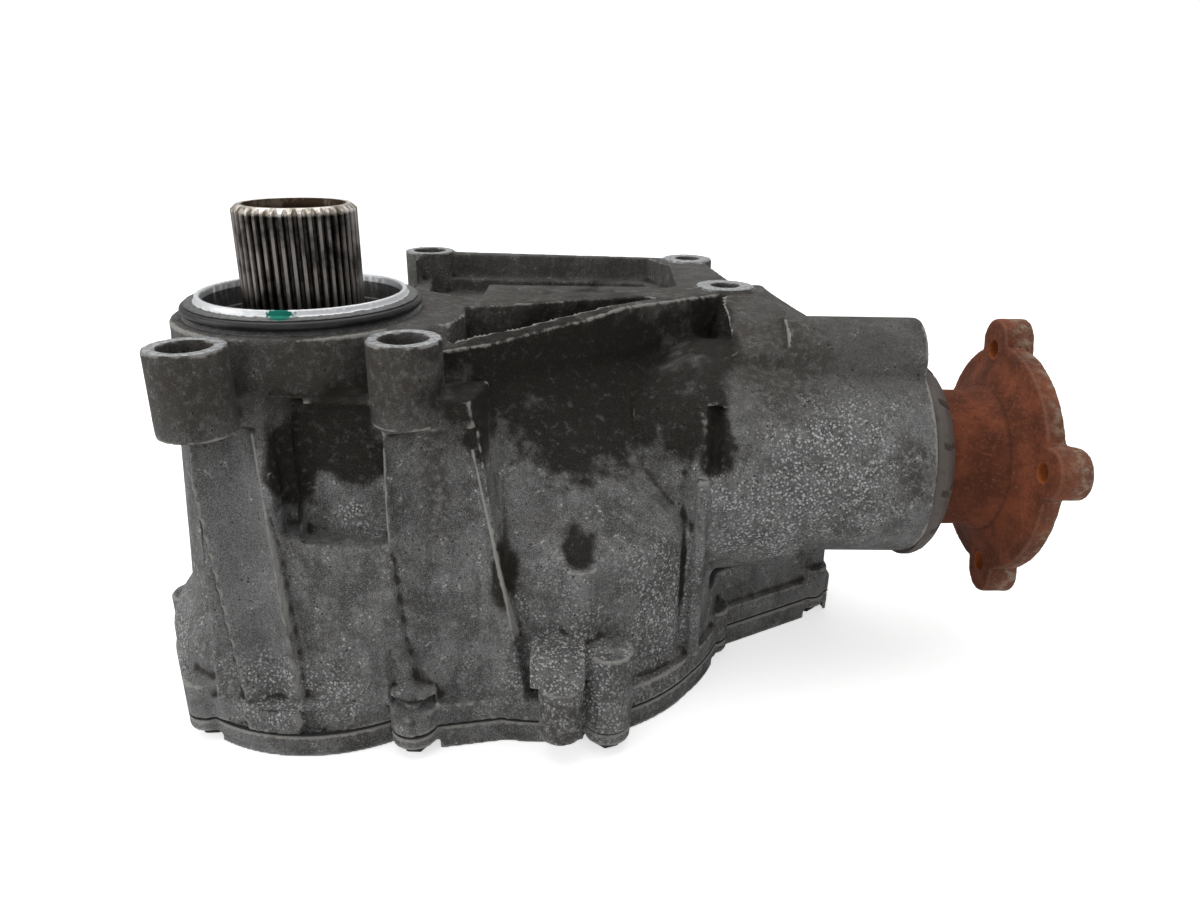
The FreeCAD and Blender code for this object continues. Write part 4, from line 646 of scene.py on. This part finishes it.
# section of the deflector: share of its length, and of the way out from the hub
DEFLECTOR_PROFILE = (
    (0.00, 1.00), (0.15, 1.00), (0.30, 0.94), (0.44, 0.80), (0.58, 0.58), (0.70, 0.32),
    (0.77, 0.12), (0.79, 0.00), (0.66, 0.00), (0.56, 0.26), (0.42, 0.58), (0.22, 0.82),
    (0.00, 0.88),
)
# places on the case whose steps were blended by hand in the pattern
BLENDS = (
    ((0.165, 0.010, -0.022), 0.026),
    ((0.185, 0.020, -0.020), 0.024),
    ((0.212, -0.012, -0.022), 0.018),
    ((0.150, -0.048, -0.030), 0.018),
    ((0.225, 0.000, -0.020), 0.012),
)
BLEND_PASSES = 90


def plain_mesh(obj, name):
    """The evaluated mesh of obj as a mesh of its own."""
    graph = bpy.context.evaluated_depsgraph_get()
    mesh = bpy.data.meshes.new_from_object(obj.evaluated_get(graph))
    mesh.name = name
    return mesh


def new_object(name, data):
    made = bpy.data.objects.new(name, data)
    bpy.context.collection.objects.link(made)
    return made


def paint(mesh, material):
    mesh.materials.clear()
    mesh.materials.append(material)


def new_piece(name, mesh, body, material):
    piece = new_object(name, mesh)
    paint(mesh, material)
    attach(piece, body)
    return piece


def cad_mesh(node):
    return frame["nodes"][node].data


def merged_copy(node, name):
    """A copy of a CAD node's mesh with its loose triangles joined."""
    mesh = cad_mesh(node).copy()
    mesh.name = name
    work = bmesh.new()
    work.from_mesh(mesh)
    bmesh.ops.remove_doubles(work, verts=work.verts, dist=2e-6)
    work.to_mesh(mesh)
    work.free()
    return mesh


def apply_modifier(obj, kind, **fields):
    modifier = obj.modifiers.new(kind.title(), kind)
    for field, value in fields.items():
        setattr(modifier, field, value)
    mesh = plain_mesh(obj, obj.data.name)
    obj.modifiers.clear()
    old = obj.data
    obj.data = mesh
    bpy.data.meshes.remove(old)


def values_of(items, field, size, kind=float):
    values = np.empty(len(items) * size, dtype=kind)
    items.foreach_get(field, values)
    return values.reshape(-1, size)


def points_of(mesh):
    return values_of(mesh.vertices, "co", 3)


def move_points(mesh, points):
    mesh.vertices.foreach_set("co", points.ravel())
    mesh.update()


def edges_of(mesh):
    return values_of(mesh.edges, "vertices", 2, np.int64)


def neighbour_mean(edges, count):
    """A function that gives each vertex the mean of its neighbours' values."""
    first, second = edges.T
    near = np.bincount(first, minlength=count) + np.bincount(second, minlength=count)

    def mean(values):
        total = np.bincount(first, values[second], count)
        total += np.bincount(second, values[first], count)
        return total / np.maximum(near, 1)

    return mean


def rounded(mesh, weight, passes, back):
    """Rounds edges by the weight at each vertex; each second pass pushes back."""
    points, edges = points_of(mesh), edges_of(mesh)
    mean = neighbour_mean(edges[weight[edges].max(axis=1) > 0], len(points))
    for step in range(passes):
        pull = ROUNDING_PULL if step % 2 == 0 else -back
        for axis in range(3):
            line = points[:, axis]
            points[:, axis] = line + weight * pull * (mean(line) - line)
    move_points(mesh, points)


def normals_of(mesh):
    return values_of(mesh.vertices, "normal", 3)


def reach_of_line(points, start, end):
    """Distance from a line on the near wall, seen square on, and how far to its right."""
    flat = points[:, [0, 2]] - np.array(start)
    along = np.array(end) - np.array(start)
    share = np.clip(flat @ along / (along @ along), 0.0, 1.0)
    right = (flat[:, 0] * -along[1] + flat[:, 1] * along[0]) / np.hypot(*along)
    return np.hypot(*(flat - share[:, None] * along).T), right


def sculpted(mesh):
    """Blends the pattern's steps, then draws ridges and hollows on the near wall."""
    points = points_of(mesh)
    blend = np.zeros(len(points))
    for centre, radius in BLENDS:
        reach = np.linalg.norm(points - np.array(centre), axis=1)
        blend = np.maximum(blend, fade(reach, radius, 0.6 * radius))
    rounded(mesh, blend, BLEND_PASSES, 0.0)
    points, facing = points_of(mesh), normals_of(mesh)
    x, y, z = points.T
    near = fade(-facing[:, 1], 0.10, 0.45) * (y < NEAR_WALL)
    for low, high, stop in PRESSES:
        inside = near * fade(x, low[0], low[0] + PRESS_SIDE)
        inside = inside * fade(x, high[0], high[0] - PRESS_SIDE)
        inside = inside * fade(z, low[1], low[1] + PRESS_FOOT)
        inside = inside * fade(z, high[1], high[1] - PRESS_HEAD)
        y += inside * np.maximum(stop - y, 0.0)
    for start, end, width, height, side in STROKES:
        reach, across = reach_of_line(points, start, end)
        kept = fade(side * across, -0.3 * MM, 0.3 * MM) if side else 1.0
        y -= near * height * kept * np.exp(-(reach / width) ** 2)
    slim_snout(points)
    move_points(mesh, points)


def slim_snout(points):
    """Draws the snout's lower front in around the output axis."""
    y, z = points[:, 1] - OUTPUT_AXIS.y, points[:, 2] - OUTPUT_AXIS.z
    reach = np.maximum(np.hypot(y, z), MM)
    skin = (reach > SNOUT_UNDER) & (reach < SNOUT_SKIN) & (points[:, 0] > SNOUT_START)
    pull = skin * fade(-z / reach, 0.35, 0.80) * fade(points[:, 0], *SNOUT_FRONT)
    pull = pull * (1.0 - SNOUT_UNDER / reach)
    points[:, 1] -= pull * y
    points[:, 2] -= pull * z


def roughened(mesh, weight_of, depth, scale):
    """Lifts the surface by uneven grain along its normals."""
    points, normals = points_of(mesh), normals_of(mesh)
    weight = weight_of(points) * fade(-points[:, 2], *JOINT_FADE)
    rise = np.array([
        noise.fractal(Vector(point) * scale + GRAIN_SHIFT, *GRAIN_LAYERS) for point in points
    ])
    points += (rise * weight * depth)[:, None] * normals
    move_points(mesh, points)


def mark_edges(mesh):
    """Stores how sharply the surface turns: above 0 on ridges and below 0 in corners."""
    points, normals, edges = points_of(mesh), normals_of(mesh), edges_of(mesh)
    first, second = edges.T
    count = len(points)
    step = points[second] - points[first]
    span = (step ** 2).sum(axis=1)
    lift = -np.bincount(first, (step * normals[first]).sum(axis=1), count)
    lift += np.bincount(second, (step * normals[second]).sum(axis=1), count)
    reach = np.bincount(first, span, count) + np.bincount(second, span, count)
    turn = lift / np.maximum(reach, 1e-12) * SHARP_RADIUS
    mean = neighbour_mean(edges, count)
    for _ in range(2):
        turn = 0.4 * turn + 0.6 * mean(turn)
    layer = mesh.attributes.new("edge", "FLOAT", "POINT")
    layer.data.foreach_set("value", np.clip(turn, -1.0, 1.0).astype(np.float32))


def fade(distance, start, end):
    """0 at start and 1 at end, straight between; start may be the higher."""
    return np.clip((distance - start) / (end - start), 0.0, 1.0)


def cast_piece(node, name, look, weight_of, material, grain, grain_scale):
    """Stands a rounded, grained casting or forging in for a CAD node."""
    piece = new_piece(name, merged_copy(node, name), BODY_OF[node], material)
    apply_modifier(piece, "REMESH", mode="VOXEL", voxel_size=look.voxel)
    rounded(piece.data, weight_of(points_of(piece.data)), look.passes, look.back)
    if node == "case":
        sculpted(piece.data)
    share = look.triangles / (2.0 * len(piece.data.polygons))
    if share < 1.0:
        apply_modifier(piece, "DECIMATE", ratio=share)
    mark_edges(piece.data)
    roughened(piece.data, weight_of, grain, grain_scale)
    paint(piece.data, material)
    piece.data.shade_smooth()
    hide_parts(node)
    return piece


def case_weight(points):
    """0 on the turned spigot and the joint faces, and 1 on the cast skin."""
    x, y, z = points.T
    spigot = MOUNTS["spigot_pilot"]["dims"]["r_mm"] * MM + SPIGOT_MARGIN
    weight = np.where((z > -4 * MM) & (np.hypot(x, y) < spigot), 0.0, 1.0)
    weight = weight * fade(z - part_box("case")[0][2], 0.4 * MM, 1.4 * MM)
    return weight * fade(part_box("case")[1][0] - x, 0.3 * MM, 1.2 * MM)


def cover_weight(points):
    """0 on the joint face and the foot, and 1 on the cast skin between."""
    z = points[:, 2]
    low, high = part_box("cover")[0][2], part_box("cover")[1][2]
    return fade(z - low, 0.3 * MM, 1.4 * MM) * fade(high - z, 0.3 * MM, 1.2 * MM)


def flange_weight(points):
    """0 in the threaded holes and on the turned hub, and 1 on the forging."""
    x, y, z = (points - np.array(OUTPUT_AXIS)).T
    hub_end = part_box("mud_deflector")[1][0]
    weight = fade(x, hub_end, hub_end + 3 * MM)
    weight = np.where(np.hypot(y, z) < HUB_RADIUS, 0.0, weight)
    for across, up in hole_places():
        near = np.hypot(y - across, z - up)
        weight = weight * fade(near, HOLE_RADIUS, HOLE_RADIUS + 1.5 * MM)
    return weight


# ---- geometry nodes


class GeometryTree(NodeTree):
    """A geometry node group with named inputs."""

    def __init__(self, name, inputs):
        super().__init__(bpy.data.node_groups.new(name, "GeometryNodeTree"))
        face = self.tree.interface
        face.new_socket("Geometry", in_out="INPUT", socket_type="NodeSocketGeometry")
        face.new_socket("Geometry", in_out="OUTPUT", socket_type="NodeSocketGeometry")
        self.identifiers = {}
        for label, kind in inputs.items():
            socket = face.new_socket(label, in_out="INPUT", socket_type=kind)
            self.identifiers[label] = socket.identifier
        self.given = self.add("NodeGroupInput").outputs
        self.out = self.add("NodeGroupOutput")

    def cone(self, sides, top, bottom, depth):
        return self.add("GeometryNodeMeshCone", {
            "Vertices": sides, "Radius Top": top, "Radius Bottom": bottom, "Depth": depth,
        }).outputs["Mesh"]

    def lowered(self, geometry, depth):
        place = self.add("ShaderNodeCombineXYZ", {"Z": self.times(depth, -1.0)}).outputs[0]
        values = {"Geometry": geometry, "Translation": place}
        return self.add("GeometryNodeTransform", values).outputs[0]

    def join(self, *parts):
        node = self.add("GeometryNodeJoinGeometry")
        for part in parts:
            self.feed(node.inputs[0], part)
        return node.outputs[0]

    def close(self, geometry, material):
        real = self.add("GeometryNodeRealizeInstances", {"Geometry": geometry}).outputs[0]
        values = {"Geometry": real, "Material": material}
        painted = self.add("GeometryNodeSetMaterial", values).outputs[0]
        self.feed(self.out.inputs[0], painted)

    def on(self, obj, values):
        modifier = obj.modifiers.new(self.tree.name, "NODES")
        modifier.node_group = self.tree
        for label, value in values.items():
            modifier[self.identifiers[label]] = value


def bolt_tree():
    """A collared hexagon bolt, head down, at each point."""
    sizes = (
        "Head Radius", "Head Height", "Collar Radius",
        "Collar Height", "Shank Radius", "Shank Length",
    )
    tree = GeometryTree("Cover bolts", {
        **dict.fromkeys(sizes, "NodeSocketFloat"), "Material": "NodeSocketMaterial",
    })
    radius, height, washer, collar_height, shank_radius, shank_length = (
        tree.given[label] for label in sizes
    )
    chamfer = tree.times(height, 0.22)
    flats = tree.times(height, 1.0 - 0.22)
    hexagon = tree.cone(6, radius, radius, flats)
    crown = tree.cone(6, radius, tree.times(radius, 0.84), chamfer)
    collar = tree.cone(40, washer, tree.times(washer, 0.90), collar_height)
    shank = tree.cone(24, shank_radius, shank_radius, shank_length)
    bolt = tree.join(
        tree.lowered(hexagon, flats),
        tree.lowered(crown, height),
        tree.lowered(collar, collar_height),
        shank,
    )
    angle = tree.add("FunctionNodeRandomValue", {2: 0.0, 3: 1.05, "Seed": 7}, data_type="FLOAT")
    turn = tree.add("ShaderNodeCombineXYZ", {"Z": angle.outputs[1]}).outputs[0]
    placed = tree.add("GeometryNodeInstanceOnPoints", {
        "Points": tree.given["Geometry"], "Instance": bolt, "Rotation": turn,
    }).outputs[0]
    tree.close(placed, tree.given["Material"])
    return tree


def islands(mesh):
    """The lowest and highest corner of each separate solid in a mesh."""
    work = bmesh.new()
    work.from_mesh(mesh)
    bmesh.ops.remove_doubles(work, verts=work.verts, dist=2e-6)
    left = set(work.verts)
    boxes = []
    while left:
        seed = left.pop()
        stack, found = [seed], [seed.co.copy()]
        while stack:
            for edge in stack.pop().link_edges:
                for vert in edge.verts:
                    if vert in left:
                        left.remove(vert)
                        stack.append(vert)
                        found.append(vert.co.copy())
        cloud = np.array(found)
        boxes.append((cloud.min(axis=0), cloud.max(axis=0)))
    work.free()
    boxes.sort(key=lambda corners: tuple(corners[0]))
    return boxes


# ---- operators


def dress(material, *nodes):
    for node in nodes:
        paint(cad_mesh(node), material)


class CastCase(bpy.types.Operator):
    """Round and grain the case and lay its weathered skin"""

    bl_idname = "transfer_case.cast_case"
    bl_label = "Cast the case"

    def execute(self, context):
        look = settings("casting")
        skin = cast_aluminium("cast_case")
        cast_piece(
            "case", "case_casting", look, case_weight, skin,
            look.grain, GRAIN_SCALE,
        )
        return {"FINISHED"}


class CastCover(bpy.types.Operator):
    """Round and grain the cover under the case"""

    bl_idname = "transfer_case.cast_cover"
    bl_label = "Cast the cover"

    def execute(self, context):
        look = settings("casting")
        skin = cast_aluminium("cast_cover", wet=0.3)
        cast_piece(
            "cover", "cover_casting", look, cover_weight, skin,
            look.grain, GRAIN_SCALE,
        )
        gasket = steel("gasket", (0.02, 0.02, 0.02), 0.8, 0.0)
        dress(gasket, "cover_gasket")
        return {"FINISHED"}


class ForgeFlange(bpy.types.Operator):
    """Round, pit and rust the output flange, and dust its deflector"""

    bl_idname = "transfer_case.forge_flange"
    bl_label = "Rust the flange"

    def execute(self, context):
        look = settings("flange")
        rust = rusted_iron()
        cast_piece(
            "companion_flange", "flange_forging", look, flange_weight, rust,
            look.pits, PIT_SCALE,
        )
        dress(rust, "pinion_nut", "pinion_washer")
        dusty = steel("deflector_steel", look.deflector, 0.62, 0.0, 0.4, (0.05, 0.035, 0.03), 0.5)
        body = BODY_OF["mud_deflector"]
        piece = new_piece("deflector_ring", deflector_mesh(), body, dusty)
        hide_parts("mud_deflector")
        return {"FINISHED"}


def deflector_mesh():
    """A dished ring from the snout's mouth to the hub, slit on a slant into tabs."""
    low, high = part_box("mud_deflector")
    cad = points_of(cad_mesh("mud_deflector")) - np.array(OUTPUT_AXIS)
    hub = np.hypot(cad[:, 1], cad[:, 2]).min()
    mouth = (high[2] - low[2]) / 2
    rows, sides = len(DEFLECTOR_PROFILE), DEFLECTOR_SIDES
    points, faces = [], []
    for row, (along, out) in enumerate(DEFLECTOR_PROFILE):
        x = low[0] + along * (high[0] - low[0])
        after = (row + 1) % rows
        for side in range(sides):
            radius = hub + out * (mouth - hub)
            if row in SLIT_ROWS and (side + row // 2) % TAB_SIDES < SLIT_SIDES:
                radius -= SLIT_DEPTH
            if row <= SLIT_ROWS[-1]:
                radius = max(radius, hub + SLIT_FLOOR)
            angle = 2 * math.pi * side / sides
            y = OUTPUT_AXIS.y + radius * math.cos(angle)
            z = OUTPUT_AXIS.z + radius * math.sin(angle)
            points.append((x, y, z))
            turn = (side + 1) % sides
            faces.append((
                row * sides + side, row * sides + turn, after * sides + turn, after * sides + side,
            ))
    mesh = bpy.data.meshes.new("deflector_ring")
    mesh.from_pydata(points, [], faces)
    work = bmesh.new()
    work.from_mesh(mesh)
    bmesh.ops.recalc_face_normals(work, faces=work.faces)
    work.to_mesh(mesh)
    work.free()
    return mesh


class FinishShafts(bpy.types.Operator):
    """Give the shafts, gears and bearings their steels"""

    bl_idname = "transfer_case.finish_shafts"
    bl_label = "Finish the shafts"

    def execute(self, context):
        look = settings("steel")
        dress(splined_steel(), "input_shaft")
        geared = steel("gear_steel", shade_of(look.ground, 0.8), 0.32)
        dress(
            geared, "input_gear", "transfer_gear", "ring_gear",
            "pinion_shaft", "transfer_shaft",
        )
        ground = steel("ground_steel", look.ground, 0.22, dirty=0.15)
        rolling = [node for node in frame["nodes"] if "bearing" in node or node.endswith("shim")]
        dress(ground, "pinion_spacer", "cover_pins", *rolling)
        return {"FINISHED"}


class FitSeals(bpy.types.Operator):
    """Oil the O-ring and the shaft seals"""

    bl_idname = "transfer_case.fit_seals"
    bl_label = "Fit the seals"

    def execute(self, context):
        dress(seal_rubber(), "spigot_o_ring", "input_seal", "cover_seal", "pinion_seal")
        return {"FINISHED"}


class FitBolts(bpy.types.Operator):
    """Set a collared bolt in each hole of the cover, and finish the plugs"""

    bl_idname = "transfer_case.fit_bolts"
    bl_label = "Fit the bolts"

    def execute(self, context):
        look = settings("bolt")
        plated = steel(
            "zinc_fasteners", settings("steel").plated, 0.5, 0.6, 0.4, (0.06, 0.03, 0.02), 0.5,
        )
        # each CAD bolt's corners; its low end is the underside of the head
        solids = islands(cad_mesh("cover_bolts"))
        low = solids[0][0][2]
        head = look.head
        points = bpy.data.meshes.new("bolt_points")
        points.from_pydata(
            [((a[0] + b[0]) / 2, (a[1] + b[1]) / 2, low + head) for a, b in solids], [], [],
        )
        carrier = new_object("cover_bolt_set", points)
        bolt_tree().on(carrier, {
            "Head Radius": look.across,
            "Head Height": head,
            "Collar Radius": look.washer,
            "Collar Height": look.collar,
            "Shank Radius": look.shank,
            "Shank Length": solids[0][1][2] - low - head,
            "Material": plated,
        })
        mesh = plain_mesh(carrier, "cover_bolt_set")
        carrier.modifiers.clear()
        carrier.data = mesh
        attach(carrier, "case")
        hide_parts("cover_bolts")
        dress(plated, "fill_plug", "drain_plug", "ring_gear_bolts")
        soft = steel("soft_washer", (0.45, 0.44, 0.42), 0.4)
        dress(soft, "fill_plug_washer", "drain_plug_washer")
        return {"FINISHED"}


class SetStage(bpy.types.Operator):
    """Lay the pale floor and backdrop, and set the light and the camera"""

    bl_idname = "transfer_case.set_stage"
    bl_label = "Set the stage"

    def execute(self, context):
        look = settings("stage")
        lay_floor(look)
        light_stage(look)
        set_camera(look)
        return {"FINISHED"}


def lay_floor(look):
    """A floor that sweeps up into a backdrop behind the object."""
    half_width, front, back, rise, bend, steps = 4.0, -3.0, 2.2, 3.0, 0.8, 16
    profile = [(front, 0.0), (back - bend, 0.0)]
    for step in range(1, steps + 1):
        turn = math.pi / 2 * step / steps
        profile.append((back - bend + bend * math.sin(turn), bend - bend * math.cos(turn)))
    profile.append((back, rise))
    level = FLOOR_LEVEL - 0.05 * MM
    points = [(side * half_width, y, z + level) for y, z in profile for side in (-1, 1)]
    faces = [(2 * i, 2 * i + 1, 2 * i + 3, 2 * i + 2) for i in range(len(profile) - 1)]
    mesh = bpy.data.meshes.new("floor")
    mesh.from_pydata(points, [], faces)
    mesh.shade_smooth()
    floor = new_object("floor", mesh)
    paper = Shader("floor_paper")
    paper.base = paper.mix(paper.noise(3.0), look.floor, shade_of(look.floor, 0.985))
    paper.colour_and_gloss(0.95, 0.0)
    seen = paper.add("ShaderNodeLightPath").outputs["Is Camera Ray"]
    paper.feed(paper.surface.inputs["Emission Color"], (1.0, 1.0, 1.0))
    paper.feed(paper.surface.inputs["Emission Strength"], paper.times(seen, look.glow))
    mesh.materials.append(paper.material)


def light_stage(look):
    """An even sky, white as the camera sees it, and three soft lamps."""
    world = bpy.data.worlds.new("soft sky")
    bpy.context.scene.world = world
    world.use_nodes = True
    sky = NodeTree(world.node_tree)
    background = sky.tree.nodes["Background"]
    seen = sky.add("ShaderNodeLightPath").outputs["Is Camera Ray"]
    values = {"Value": seen, "To Min": look.sky, "To Max": 1.0}
    strength = sky.add("ShaderNodeMapRange", values).outputs["Result"]
    sky.feed(background.inputs["Color"], (1.0, 1.0, 1.0))
    sky.feed(background.inputs["Strength"], strength)
    for name, power, size, place in (
        ("overhead", look.key, 1.6, (-0.10, 0.30, 1.30)),
        ("front", look.fill, 1.2, (-0.50, -1.50, 0.60)),
        ("left", look.side, 0.8, (-1.30, -0.40, 0.45)),
    ):
        light = bpy.data.lights.new(name, "AREA")
        light.energy = power
        light.size = size
        lamp = new_object(name, light)
        lamp.location = place
        aim = Vector((0.10, 0.0, -0.07)) - Vector(place)
        lamp.rotation_euler = aim.to_track_quat("-Z", "Y").to_euler()


def set_camera(look):
    """The camera that took the photo, and plain view colours."""
    pitch, yaw, roll = (math.radians(angle) for angle in CAMERA_ANGLES)
    forward = Vector((
        math.sin(yaw) * math.cos(pitch), math.cos(yaw) * math.cos(pitch), -math.sin(pitch),
    ))
    right = Vector((math.cos(yaw), -math.sin(yaw), 0.0))
    down = forward.cross(right)
    across = math.cos(roll) * right + math.sin(roll) * down
    downward = -math.sin(roll) * right + math.cos(roll) * down
    turn = Matrix((across, -downward, -forward)).transposed().to_4x4()
    turn.translation = Vector(CAMERA_PLACE)
    camera = bpy.data.cameras.new("camera")
    camera.sensor_width = 36.0
    camera.lens = look.lens
    camera.clip_start = 0.01
    eye = new_object("camera", camera)
    eye.matrix_world = turn
    bpy.context.scene.camera = eye
    bpy.context.scene.view_settings.view_transform = "Standard"


STEPS = (CastCase, CastCover, ForgeFlange, FinishShafts, FitSeals, FitBolts, SetStage)
GROUPS = {
    "casting": CastingSettings,
    "steel": SteelSettings,
    "flange": FlangeSettings,
    "bolt": BoltSettings,
    "stage": StageSettings,
}


class TransferCasePanel(bpy.types.Panel):
    """Lists the steps that finish the transfer case"""

    bl_idname = "VIEW3D_PT_transfer_case"
    bl_label = "Transfer Case"
    bl_space_type = "VIEW_3D"
    bl_region_type = "UI"
    bl_category = "Transfer Case"

    def draw(self, context):
        for step in STEPS:
            self.layout.operator(step.bl_idname)


def register():
    for item in (*GROUPS.values(), *STEPS, TransferCasePanel):
        bpy.utils.register_class(item)
    for name, group in GROUPS.items():
        setattr(bpy.types.Scene, "transfer_case_" + name, PointerProperty(type=group))


def unregister():
    for name in GROUPS:
        delattr(bpy.types.Scene, "transfer_case_" + name)
    for item in (TransferCasePanel, *reversed(STEPS), *reversed(GROUPS.values())):
        bpy.utils.unregister_class(item)


def main():
    register()
    for step in STEPS:
        group, name = step.bl_idname.split(".")
        getattr(getattr(bpy.ops, group), name)()


if __name__ == "__main__":
    main()
